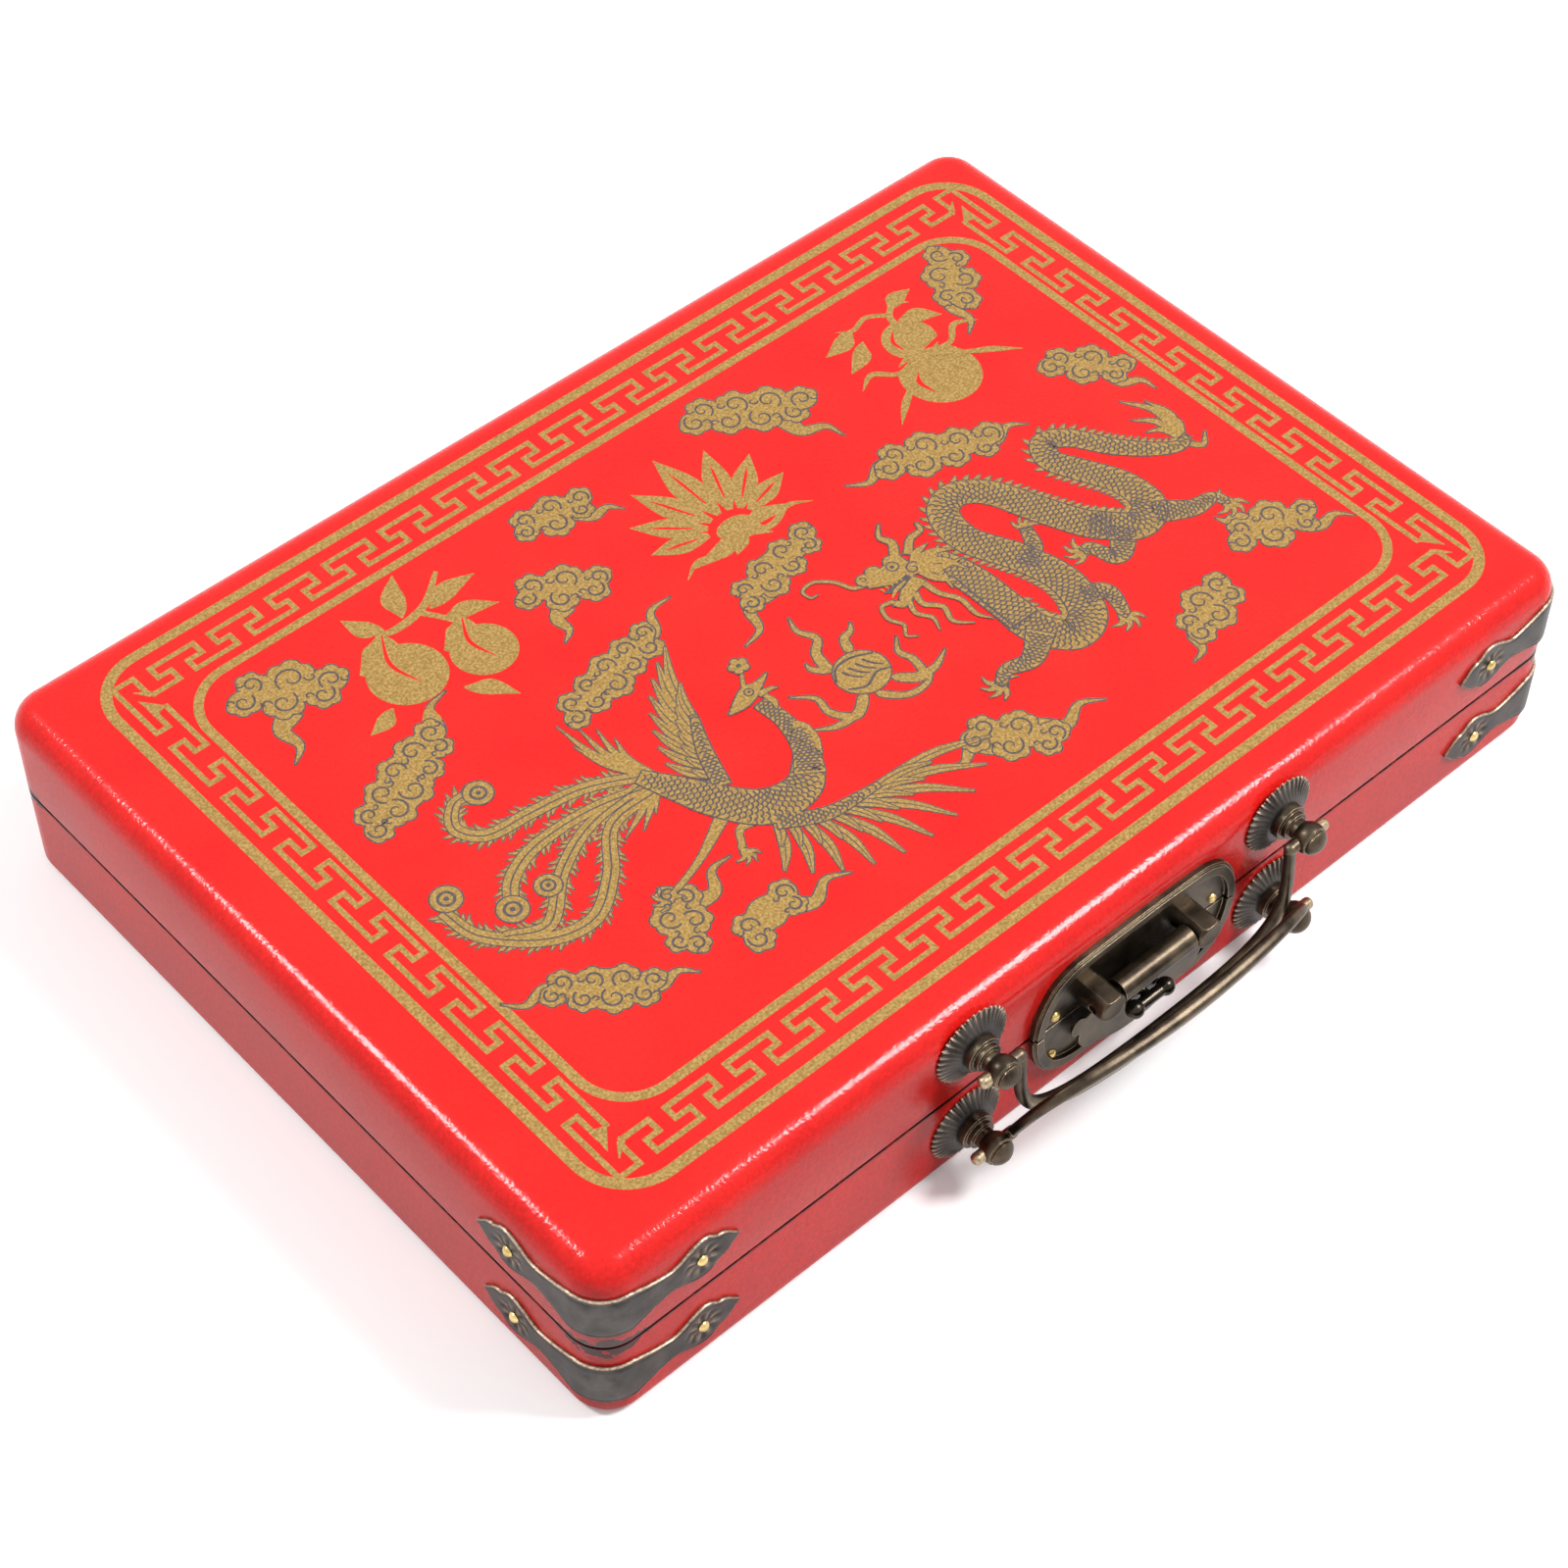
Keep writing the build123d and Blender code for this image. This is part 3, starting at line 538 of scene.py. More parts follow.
def fret_line_through(points):
    """Straight pieces of even width, each run half a width past its ends so that corners are full."""
    for a, b in zip(points[:-1], points[1:]):
        extra = (b - a) / (np.linalg.norm(b - a) + 1e-9) * fret_line / 2
        ends = [(*(a - extra), fret_line), (*(b + extra), fret_line)]
        ribbon("gold", ends, 0, curved=False)


long_depth, short_depth = 7.4, 6.8  # the fret's height along the long and along the short sides
hook_run, bar_rise = 10.8, 24.4  # where the corner's own lines end along the two sides
hook = [(0, 18.3), (0, 0), (5.8, 0), (5.8, 6.1), (6.9, 7.4), (14.5, 7.4), (14.5, 3.7)]
hook += [(hook_run, 3.7), (hook_run, 0)]
barb = [(0, 18.3), (3.4, 18.3), (3.4, 11.0)]
return_bar = [(6.8, 12.6), (6.8, 28.9), (3.5, 28.9), (3.5, bar_rise), (0, bar_rise)]
wedges = ([(6.3, 7.1, 1.6), (3.3, 3.9, 0.3)], [(5.0, 13.0, 3.9), (2.6, 7.0, 0.2)])
for side_x in (-1, 1):
    for side_y in (-1, 1):
        corner = print_centre + fret_outer * (side_x, side_y)
        inwards = -np.array([side_x, side_y])
        for line in (hook, barb, return_bar):
            fret_line_through([corner + inwards * np.array(point) for point in line])
        for wedge in wedges:
            ribbon("gold", [(*(corner + inwards * (x, y)), w) for x, y, w in wedge], 0, curved=False)
for side_y in (-1, 1):
    start = print_centre + fret_outer * (-1, side_y) + (hook_run, 0)
    period = 2 * (fret_outer[0] - hook_run) / (14 + bar_end)
    across = np.array([0.0, -long_depth * side_y])
    fret_line_through(fret_path(start, np.array([1.0, 0.0]), across, period, 15))
for side_x in (-1, 1):
    start = print_centre + fret_outer * (side_x, -1) + (0, bar_rise)
    period = 2 * (fret_outer[1] - bar_rise) / (6 + bar_end)
    across = np.array([-short_depth * side_x, 0.0])
    fret_line_through(fret_path(start, np.array([0.0, 1.0]), across, period, 7))


def curl(x, y, radius, start, way, layer, width=0.5, turns=1.2):
    """A spiral line whose radius shrinks evenly to a fifth as it turns."""
    a = start + way * np.linspace(0, 2 * pi * turns, 18)
    r = radius * np.linspace(1, 0.2, 18)
    w = width * np.sin(np.linspace(0.35, 0.85, 18) * pi)
    ribbon("line", np.stack([x + r * np.cos(a), y + r * np.sin(a), w], 1), layer, curved=False)


def cloud(x, y, length, tilt, lobes, size, tails, seed):
    """A cloud: a thick leaning core edged with round puffs that each carry a curl, and waving tails.

    The puffs stand in two rows along the core, largest in the middle, each with three bumps on its
    outer side. The seed sets how far they vary and which way they curl.
    """
    dice = np.random.default_rng(seed)
    lean = radians(tilt)
    ahead, aside = np.array([cos(lean), sin(lean)]), np.array([-sin(lean), cos(lean)])
    middle = np.array([x, y])
    for angle, reach in tails:
        a = radians(angle)
        way, across = np.array([cos(a), sin(a)]), np.array([-sin(a), cos(a)])
        root = middle + way * length * 0.30
        line = [
            (*root, size * 1.2),
            (*(root + way * reach * 0.38 - across * reach * 0.15), size * 0.72),
            (*(root + way * reach * 0.72 + across * reach * 0.10), size * 0.36),
            (*(root + way * reach * 1.1), 0.15),
        ]
        painted(line, 0)
    reach = length * 0.40
    core = [
        (*(middle - ahead * reach), size),
        (*(middle + aside * size * 0.2), size * 2.1),
        (*(middle + ahead * reach), size),
    ]
    puffs = []
    for k in range(lobes):
        share = k / max(lobes - 1, 1) * 2 - 1
        for side in (-1, 1):
            r = size * (0.78 + 0.22 * dice.random()) * (1 - 0.22 * abs(share))
            off = size * (0.62 + 0.18 * dice.random()) * (1 - 0.35 * abs(share)) * side
            spot = middle + ahead * (reach * (share + 0.10 * side)) + aside * off
            puffs.append((*spot, r, side))
    for ink_name, layer, grow in (("line", 2, outline_grow), ("gold", 3, 0)):
        for cx, cy, r, side in puffs:
            disc(ink_name, cx, cy, r, layer, grow)
            for bump in (-1.0, 0.0, 1.0):
                a = lean + side * pi / 2 + bump
                disc(ink_name, cx + r * 0.70 * cos(a), cy + r * 0.70 * sin(a), r * 0.48, layer, grow)
        ribbon(ink_name, core, layer, grow)
    for cx, cy, r, side in puffs:
        way = 1 if dice.random() > 0.5 else -1
        curl(cx, cy, r * 0.80, lean + side * pi / 2 + way * 0.7 + pi, way, 5, 0.62, 1.15)
        notch = lean + side * pi / 2 + way * 1.5
        curl(cx + r * 0.92 * cos(notch), cy + r * 0.92 * sin(notch), r * 0.32, notch + pi, -way, 5, 0.5, 0.8)


# Place, length, tilt in degrees, puffs in a row, puff size, and tails of (direction, reach).
clouds = (
    (-105.5, 67.5, 24, -35, 3, 5.4, [(238, 15)]),
    (-19.5, 71.0, 20, -10, 3, 4.3, [(-35, 11)]),
    (-34.0, 49.5, 21, -30, 3, 4.7, [(232, 11)]),
    (42.8, 66.5, 33, -32, 4, 4.9, [(-62, 15)]),
    (118.5, 69.0, 21, 55, 3, 4.9, [(238, 15)]),
    (-102.0, 26.0, 36, 22, 5, 4.7, [(33, 17)]),
    (-44.0, 19.5, 36, 12, 5, 4.1, [(20, 17)]),
    (10.5, 19.5, 31, 12, 4, 4.2, [(212, 17)]),
    (69.5, 22.5, 33, -24, 4, 4.7, [(166, 16), (-18, 14)]),
    (121.0, 20.0, 21, -50, 3, 4.3, [(-68, 12)]),
    (-106.5, -52.0, 26, -40, 4, 4.2, [(150, 14), (-30, 13)]),
    (-80.5, -49.0, 17, 60, 3, 4.2, [(18, 15)]),
    (-64.5, -61.5, 16, 10, 2, 4.4, [(-8, 16)]),
    (15.5, -60.0, 22, -45, 3, 4.4, [(168, 12), (-14, 17)]),
    (81.0, -62.0, 19, 15, 3, 4.5, [(212, 12)]),
    (114.0, -53.0, 23, -20, 3, 4.6, [(-32, 13), (128, 7)]),
)
for number, shape in enumerate(clouds, 1):
    cloud(*shape, seed=number)


def along(path, spacing):
    """Even stations on a splined line: place, unit slope, unit side and width at each."""
    fine_path = spline(path, 24)
    steps = np.linalg.norm(np.diff(fine_path[:, :2], axis=0), axis=1)
    run = np.concatenate([[0], np.cumsum(steps)])
    at = np.arange(spacing / 2, run[-1], spacing)
    place = np.stack([np.interp(at, run, fine_path[:, k]) for k in range(3)], 1)
    ahead = np.stack([np.interp(at + 0.3, run, fine_path[:, k]) for k in range(2)], 1)
    slope = ahead - place[:, :2]
    slope /= np.linalg.norm(slope, axis=1)[:, None] + 1e-9
    return place[:, :2], slope, np.stack([-slope[:, 1], slope[:, 0]], 1), place[:, 2]


def scales(path, layer, size=1.9):
    """Rows of overlapping arcs across a body, every other row shifted by half a scale."""
    place, slope, side, width = along(path, size * 0.62)
    for k in range(len(place)):
        count = max(int(width[k] / size), 1)
        offset = 0.5 if k % 2 else 0.0
        for j in range(count + 1):
            across = (j + offset - count / 2) * size
            if abs(across) > width[k] / 2 - 0.4:
                continue
            a = np.linspace(-1.35, 1.35, 6)
            r = size * 0.52
            spot = place[k] + side[k] * across
            arc = spot + np.outer(np.cos(a) * r, slope[k]) + np.outer(np.sin(a) * r, side[k])
            line = np.column_stack([arc, 0.46 + 0 * a])
            ribbon("line", line, layer, curved=False)


def fins(path, layer, way, spacing=2.1, length=2.3, lean=0.6):
    """Small pointed fins along one side of a body, all leaning back."""
    place, slope, side, width = along(path, spacing)
    for p, s, n, w in zip(place, slope, side, width):
        root = p + way * n * (w / 2 - 0.3)
        reach = length * min(1, w / 5)
        tip = root + way * n * reach + s * reach * lean
        painted([(*root, 1.5), (*((root + tip) / 2 + way * n * 0.2), 1.0), (*tip, 0.1)], layer, 0.28, 3)


def claws(x, y, heading, layer, size=1.0):
    """A foot with four hooked toes spread round its heading, and one behind."""
    painted_disc(x, y, 1.7 * size, layer)
    for spread in (-70, -28, 14, 56, 170):
        a = radians(heading + spread)
        mid = (x + 3.0 * size * cos(a), y + 3.0 * size * sin(a), 1.15 * size)
        bend = a - 0.75
        tip = (mid[0] + 2.4 * size * cos(bend), mid[1] + 2.4 * size * sin(bend), 0.12)
        painted([(x, y, 1.7 * size), mid, tip], layer, 0.3, 5)


def leg(points, heading, layer, foot=1.0):
    """A scaled leg that ends in a clawed foot."""
    claws(points[-1][0], points[-1][1], heading, layer, foot)
    painted(points, layer + 1)
    scales(points, layer + 4, 1.5)


# The dragon, right: a long body in two high loops, with fins, scales, four clawed legs and a tail tuft.
dragon_tail = [(79, -21, 9), (88, -30, 9.2), (96, -27, 8.6), (96.5, -17, 8), (91.5, -6, 7.6), (88.5, 1.5, 7)]
dragon_tail += [(92, 6.8, 6.6), (98, 3.5, 6.2), (104, -6, 5.6), (111, -13.5, 4.6), (117, -17.2, 3.4)]
dragon_tail += [(121.5, -16, 2)]
dragon_loop = [(44, -28, 9), (44, -38, 9.4), (49.5, -46, 9.6), (57.5, -43, 9.4), (61, -31, 9), (58, -18, 9)]
dragon_loop += [(52.5, -5, 8.6), (54.5, 5.5, 8), (61.5, 8.4, 8), (68.5, 3, 8.2), (73.5, -9, 8.6)]
dragon_loop += [(79, -21, 9), (83, -26, 9)]
dragon_neck = [(37, -3, 6), (41.5, -6, 8), (43.8, -16, 9), (44, -28, 9), (44, -34, 9)]


def tuft(root, x, y, locks, share, bend, layer, tip=0.15, grow=outline_grow):
    """Pointed locks from one root.

    Each lock (direction, reach, width at the root, width on the way) ends at its reach from x, y in its
    direction, and on the way, at a share of its reach, it is bent aside by an angle.
    """
    for angle, reach, root_width, width in locks:
        a = radians(angle)
        mid = (x + share * reach * cos(a + bend), y + share * reach * sin(a + bend), width)
        end = (x + reach * cos(a), y + reach * sin(a), tip)
        painted([(*root, root_width), mid, end], layer, grow)


tail_locks = [(96, 19, 2.2, 2.2), (78, 15, 2.0, 2.0), (112, 13, 1.8, 1.8)]
tail_locks += [(60, 9, 1.6, 1.6), (128, 8, 1.5, 1.5)]
tuft((119.5, -16), 119.5, -14.5, tail_locks, 0.55, -0.35, 2)
painted([(119, -17, 2), (122, -21, 1.6), (126, -18, 0.2)], 2)
leg([(94, -29, 8), (103, -35, 5.5), (110, -36, 3.4), (111.5, -40, 2.6)], -80, 2)
leg([(86, -28, 7), (77, -34.5, 5), (74, -28, 3.4), (71.5, -27.5, 2.6)], 165, 2)
fins(dragon_tail, 3, 1)
painted(dragon_tail, 5)
scales(dragon_tail, 8)
leg([(57, -22, 6), (63.5, -18, 4.2), (66.5, -12, 2.8)], 70, 3, 0.8)
leg([(60, -38, 7), (66, -41, 4.8), (65, -47, 3.2), (63.5, -50, 2.6)], -85, 3)
fins(dragon_loop, 3, 1)
painted(dragon_loop, 5)
scales(dragon_loop, 8)
leg([(44, -40, 7), (36, -45, 5), (29, -43.5, 3.4), (24.5, -46, 2.6)], 200, 9)
painted(dragon_neck, 10)
scales(dragon_neck, 12)
ribbon("line", [(41.0, -12, 0.5), (40.6, -24, 0.5), (40.4, -36, 0.5)], 13)
for rank in range(13):
    height = -10.0 - 2.1 * rank
    ribbon("line", [(39.3, height, 0.35), (41.0, height + 0.4, 0.35)], 13, curved=False)

# Its mane and beard are flame-like locks, its horns and whiskers taper to points.
mane = ((-12, 11), (-30, 12), (-48, 13), (-66, 13), (-84, 12), (8, 9), (26, 8))
for k, (angle, reach) in enumerate(mane):
    tuft((36, -3), 37, -3, [(angle, reach, 2.2, 2.0)], 0.5, 0.35 * (-1) ** k, 12, grow=0.3)
painted([(34.5, 2, 2.4), (37.5, 6.5, 2.0), (36.5, 10, 1.2), (39.5, 13.5, 0.3)], 12)
painted([(38, 1, 2.2), (42, 4.5, 1.7), (46, 5, 1.2), (47, 7.5, 0.8)], 12)
painted([(36, -1.5, 7.5), (31, -1.5, 7), (26.5, -0.5, 5), (23.5, 0.8, 4.2)], 12)
painted([(34, -6.5, 4.5), (29, -8.5, 3.4), (25.5, -10.5, 2.6), (23.6, -9, 1.4)], 12)
ribbon("line", [(33, -4.6, 1.6), (28, -5.6, 2.6), (24, -5.0, 0.5)], 14)
ribbon("gold", [(31, -5.4, 0.6), (27, -6.2, 1.0), (24.5, -7.6, 0.3)], 15)
painted_disc(23.4, 1.6, 1.9, 13)
painted_disc(27.0, 1.9, 2.1, 13)
painted_disc(33.0, 1.6, 2.2, 13)
painted_disc(32.0, 0.4, 1.35, 15)
disc("line", 31.8, 0.3, 0.6, 17)
curl(35.6, -3.4, 2.2, 0.4, 1, 14, 0.55)
curl(23.2, 1.6, 1.1, 2.0, -1, 15, 0.4, 0.8)
for tooth in range(5):
    x = 24.6 + 1.5 * tooth
    ribbon("gold", [(x, -3.4 - 0.12 * tooth, 0.9), (x - 0.1, -4.9, 0.1)], 16, curved=False)
long_whisker = [(23, 0, 1.1), (19.5, 1.5, 1.0), (17.5, 6, 0.9), (13.5, 9.5, 0.8), (9.5, 9, 0.7)]
long_whisker += [(9.5, 6, 0.5), (11.5, 5.6, 0.3)]
for whisker in (
    long_whisker,
    [(24, -8.5, 1.1), (20.5, -8, 0.9), (19, -12, 0.9), (20.5, -16, 0.8), (18.5, -19, 0.6), (20.5, -21, 0.3)],
    [(30, -10, 1.6), (29, -14, 1.4), (32, -18, 1.3), (30.5, -23, 1.0), (34, -27, 0.2)],
    [(34, -9, 1.6), (34.5, -14, 1.4), (37, -19, 1.3), (36.5, -25, 1.0), (38.5, -29, 0.2)],
    [(27, -11, 1.3), (25.5, -15, 1.1), (27.5, -19, 0.9), (26, -23, 0.2)],
):
    painted(whisker, 12, 0.28)

# The flaming pearl in the middle; each flame starts a quarter of the way to the pearl's middle.
pearl = (2.2, -20.5)
painted_disc(*pearl, 7.3, 4, 0.94)
ribbon("line", [(-4.8, -19, 0.6), (-2, -15.6, 0.7), (3, -15.2, 0.7), (8.6, -17.6, 0.5)], 7)
ribbon("line", [(-4.2, -22.5, 0.6), (0, -24.6, 0.7), (5, -22.8, 0.7), (8.6, -24, 0.5)], 7)
for stripe in range(4):
    x = -1.6 + 2.2 * stripe
    ribbon("line", [(x, -17.4, 0.7), (x + 1.2, -20, 0.6), (x + 3.0, -22, 0.5)], 7)
for flame in (
    [(-3, -13, 2.6), (-2, -8.5, 2.3), (1.5, -5, 1.8), (-0.5, 0, 1.2), (0.8, 4.5, 0.2)],
    [(5, -12.5, 2.4), (6.5, -9.5, 2.0), (9.5, -8.5, 1.3), (11.2, -6.5, 0.2)],
    [(-4.5, -14, 1.8), (-6.5, -11.5, 1.3), (-6.2, -9.5, 0.2)],
    [(-3.5, -27, 2.6), (-8.5, -30, 2.2), (-12.5, -25, 1.8), (-12, -19.5, 1.3), (-16.5, -15, 0.2)],
    [(-8, -29.5, 2.0), (-14, -29.5, 1.6), (-19.5, -26.5, 0.2)],
    [(8, -28, 2.6), (12.5, -31.5, 2.2), (14.5, -26, 1.8), (13.5, -21.5, 1.3), (16.5, -17.5, 0.2)],
    [(12, -30.5, 2.0), (17, -31, 1.6), (22.5, -28.5, 0.2)],
    [(1, -29, 2.0), (6, -33.5, 1.7), (12, -33.5, 1.2), (16, -30.8, 0.2)],
):
    lit = (flame[0][0] * 0.75 + pearl[0] * 0.25, flame[0][1] * 0.75 + pearl[1] * 0.25, 0.4)
    painted([lit] + flame, 2)

# The phoenix, left: plumes with eyes behind, two feathered wings, a scaled body and a crested head.
high_plume = [(-58, -11, 3), (-72, -4, 3.2), (-86, -1.5, 3.4), (-98, 0, 3.4), (-102.5, 6.5, 3.2)]
high_plume += [(-98, 12.5, 3), (-92, 12.5, 2.6)]
low_plume = [(-58, -16, 3), (-74, -17, 3.2), (-84, -28, 3.6), (-95, -35.5, 3.8), (-107, -33, 3.8)]
low_plume += [(-118, -22, 3.4), (-120, -11, 3)]
plumes = (
    high_plume,
    [(-59, -14, 3), (-76, -10, 3.2), (-92, -10, 3.4), (-102, -14, 3.6), (-107, -20, 3.4)],
    low_plume,
    [(-60, -12, 2.6), (-78, -13.5, 3), (-92, -20, 3.2), (-104, -30, 3.4), (-114, -26, 3)],
)
plume_eyes = ((-91.5, 11.5, 3.6), (-107.5, -21, 3.8), (-117, -8.5, 3.8), (-97, -21, 3.2))
for plume in plumes:
    place, slope, side, width = along(plume, 1.55)
    for k in range(3, len(place)):
        for way in (-1, 1):
            root = place[k] + way * side[k] * 0.6
            tip = root + way * side[k] * (2.5 + 0.8 * sin(k * 1.7)) + slope[k] * 2.1
            painted([(*root, 1.2), (*((root + tip) / 2), 0.9), (*tip, 0.1)], 2, 0.24, 3)
    painted(plume, 4, 0.3)
    ribbon("line", [(x, y, 0.4) for x, y, w in plume], 6)
for x, y, r in plume_eyes:
    painted_disc(x, y, r, 6)
    disc("line", x, y, r * 0.62, 8)
    disc("gold", x, y, r * 0.42, 9)
    disc("line", x, y, r * 0.18, 10)
back_feathers = ((104, 27), (98, 22), (112, 20), (90, 19), (84, 14))
back_feathers += ((202, 16), (214, 20), (226, 17), (238, 12))
for angle, reach in back_feathers:
    tuft((-57, -12), -58, -11, [(angle, reach, 1.8, 1.7)], 0.5, 0.15, 4, 0.1, 0.3)


def wing(root, elbow, tip, count, longest, spread, layer):
    """A fan of long feathers along an arm, with a row of short ones over their roots.

    The arm is a curve from the root past the elbow, a third of the way on to the tip; along it the
    feathers grow longer and turn evenly from the first angle of the spread to the second.
    """
    root, elbow, tip = (np.array(v, float) for v in (root, elbow, tip))
    for rank, (scale, wide) in enumerate(((1.0, 2.5), (0.62, 2.1))):
        for k in range(count):
            t = k / (count - 1)
            arm = root * (1 - t) ** 2 + 2 * t * (1 - t) * elbow + t * t * tip * 0.35 + t * t * elbow * 0.65
            heading = spread[0] + (spread[1] - spread[0]) * t
            reach = longest * scale * (0.45 + 0.55 * t) * (1 if rank == 0 else 0.8)
            a = radians(heading)
            end = arm + reach * np.array([cos(a), sin(a)])
            mid = arm + 0.55 * reach * np.array([cos(a + 0.12), sin(a + 0.12)])
            painted([(*arm, wide * 0.8), (*mid, wide), (*end, 0.5)], layer + 2 * rank, 0.3)
            ribbon("line", [(*arm, 0.25), (*mid, 0.3), (*end, 0.1)], layer + 2 * rank + 2)
    upper_arm = [(*root, 4.2), (*elbow, 3.6), (*(elbow * 0.6 + tip * 0.4), 1.6)]
    painted(upper_arm, layer + 5)
    scales(upper_arm, layer + 8, 1.5)


wing((-47, -25), (-43, -14), (-29.7, 11), 9, 25, (128, 66), 4)
wing((-45, -42), (-34, -48), (2.6, -51.6), 10, 33, (-125, -12), 4)
phoenix_body = [(-60, -10, 4), (-56, -18, 7), (-51, -28, 9.5), (-43.5, -37, 10.5)]
phoenix_body += [(-33, -38, 9), (-26, -32, 6.5)]
phoenix_neck = [(-29, -36, 7.5), (-24.5, -29, 6), (-22.5, -20, 4.4), (-23, -11.5, 4.2)]
claws(-79, -42.5, 170, 4, 0.8)
painted([(-53, -32, 3.4), (-66, -38.5, 1.7), (-78.5, -42.5, 1.4)], 4, 0.3)
claws(-56.5, -44, -80, 4, 0.7)
painted([(-48, -38, 3), (-53, -38, 1.8), (-56, -42.5, 1.3)], 4, 0.3)
painted(phoenix_body, 8)
scales(phoenix_body, 11)
painted(phoenix_neck, 10, 0.3)
scales(phoenix_neck, 13, 1.4)
for k in range(7):
    a = radians(-150 + 24 * k)
    x, y = -23.5 + 1.6 * cos(a), -20 + 4.5 * sin(a)
    painted([(x, y, 1.3), (x + 2.2, y - 4.5, 1.3), (x + 0.4, y - 9, 0.15)], 12, 0.26)
head = [(-31, -9.5, 0.4), (-26.5, -8.6, 3.8), (-22.5, -7.2, 4.4), (-19.5, -6.8, 2.2), (-15.5, -5.4, 0.3)]
painted(head, 12)
painted([(-21.5, -9.4, 1.8), (-18.5, -9.6, 1.2), (-16.5, -10.6, 0.2)], 12, 0.3)
painted([(-23, -6, 1.4), (-21.5, -3.5, 0.9), (-19.4, -0.6, 0.7)], 12, 0.26)
for k in range(5):
    a = radians(72 * k + 18)
    painted_disc(-18.9 + 1.7 * cos(a), 0.9 + 1.5 * sin(a), 1.05, 13)
disc("line", -18.9, 0.9, 0.6, 16)
painted_disc(-22.8, -7.2, 0.95, 14)
disc("line", -22.7, -7.2, 0.4, 16)
painted([(-20.5, -10.5, 1.3), (-20.2, -13.4, 1.5), (-21.2, -15.6, 0.3)], 13, 0.26)


def leaf(x, y, angle, length, width, layer=0):
    """A pointed leaf: a line whose width swells in its middle."""
    a = radians(angle)
    middle = (x + 0.5 * length * cos(a + 0.16), y + 0.5 * length * sin(a + 0.16), width)
    quarter = (x + 0.22 * length * cos(a + 0.1), y + 0.22 * length * sin(a + 0.1), 0.7 * width)
    ribbon("gold", [(x, y, 0.4), quarter, middle, (x + length * cos(a), y + length * sin(a), 0.1)], layer)


# Three plain gold good-luck ornaments along the far side. First two peaches on their leafy twig.
for x, y, r in ((-80.5, 52.5, 10.2), (-61.5, 46.5, 8.6)):
    point = [(x - 0.75 * r, y + 0.5 * r, 0.5 * r), (x, y + 1.0 * r, 0.9 * r), (x + 0.3 * r, y + 1.5 * r, 0.1)]
    cleft = [(x + 0.3 * r, y + 1.4 * r, 0.3), (x - 0.12 * r, y + 0.5 * r, 1.1)]
    cleft.append((x + 0.1 * r, y - 0.45 * r, 0.1))
    disc("gold", x, y, r, 0)
    ribbon("gold", point, 1)
    ribbon("red", cleft, 3)
ribbon("gold", [(-54, 75, 1.2), (-63, 68, 2.2), (-72, 66, 2.4), (-79, 67, 1.4)], 0)
ribbon("gold", [(-66, 67, 1.8), (-62, 61, 1.6), (-60, 56, 1.2)], 0)
peach_leaves = ((-70, 68, 62, 15, 6), (-76, 67, 120, 12, 5.4), (-63, 66, 8, 16, 5.6), (-63, 61, -18, 15, 5.2))
peach_leaves += ((-90, 46, 200, 10, 4.6), (-73, 40, -50, 14, 5), (-83, 41, 230, 12, 4.6))
for spot in peach_leaves:
    leaf(*spot)

# The lotus: seven pointed petals with a cut line each, a flat seed head, leaves and two curved stems.
petals = [(90, 31, 8.0), (64, 28, 7.0), (116, 28, 7.0), (39, 26, 6.6)]
petals += [(141, 26, 6.6), (14, 23, 6.0), (166, 23, 6.0)]
for angle, reach, wide in petals:
    a = radians(angle)
    root = np.array([12 + 7 * cos(a), 38 + 5 * sin(a)])
    tip = np.array([12 + reach * cos(a), 38 + reach * sin(a)])
    belly = root * 0.45 + tip * 0.55
    petal = [(*root, 1.6), (*(root * 0.75 + tip * 0.25), 0.8 * wide), (*belly, wide), (*tip, 0.1)]
    ribbon("gold", petal, 0)
    ribbon("red", [(*(root * 0.8 + tip * 0.2), 0.4), (*belly, 0.8), (*(root * 0.25 + tip * 0.75), 0.1)], 3)
disc("gold", 12, 37.2, 5.4, 1, 0, 0.6)
for angle, reach in ((-10, 18), (-170, 18), (-48, 9), (-132, 9)):
    leaf(12, 36, angle, reach, 4.4)
for way in (-1, 1):
    stem = [(12, 33, 1.4), (12 + 8 * way, 31.5, 2.0), (12 + 15 * way, 34.0, 1.6), (12 + 21 * way, 31.0, 0.2)]
    ribbon("gold", stem, 0)

# The gourd: two swellings with a cut waist and two cut shines, its twig, leaves and a tied bow.
disc("gold", 90, 43.5, 11.2, 0)
disc("gold", 93, 58.5, 7.6, 0)
for cut in (
    [(81.5, 51.6, 1.2), (91, 52.2, 1.5), (100.5, 54.2, 1.2)],
    [(84.0, 39.5, 0.3), (83.6, 45, 1.4), (87.5, 50, 0.3)],
    [(89.0, 56.5, 0.3), (88.9, 60.5, 1.1), (91.5, 63.5, 0.3)],
):
    ribbon("red", cut, 3)
ribbon("gold", [(94, 65, 2.2), (95.5, 69, 1.8), (99.5, 71.5, 1.6), (103, 69.5, 0.3)], 0)
ribbon("gold", [(95.5, 69, 1.5), (90, 72.5, 1.5), (84, 71, 1.3), (80, 73.5, 0.2)], 0)
for spot in ((97, 71, 12, 10, 5.0), (84, 71.5, 196, 13, 5.4), (96, 66, -30, 12, 5.4), (83, 66, 214, 13, 5.0)):
    leaf(*spot)
for way in (-1, 1):
    loop = [(91, 52.5, 2.6), (91 + 9 * way, 50.5, 1.6), (91 + 15 * way, 55, 1.8), (91 + 21 * way, 52, 0.2)]
    end = [(91, 52.5, 1.6), (91 + 10 * way, 45, 1.6), (91 + 16 * way, 41, 2.2), (91 + 22 * way, 36, 0.2)]
    ribbon("gold", loop, 4)
    ribbon("gold", end, 4)

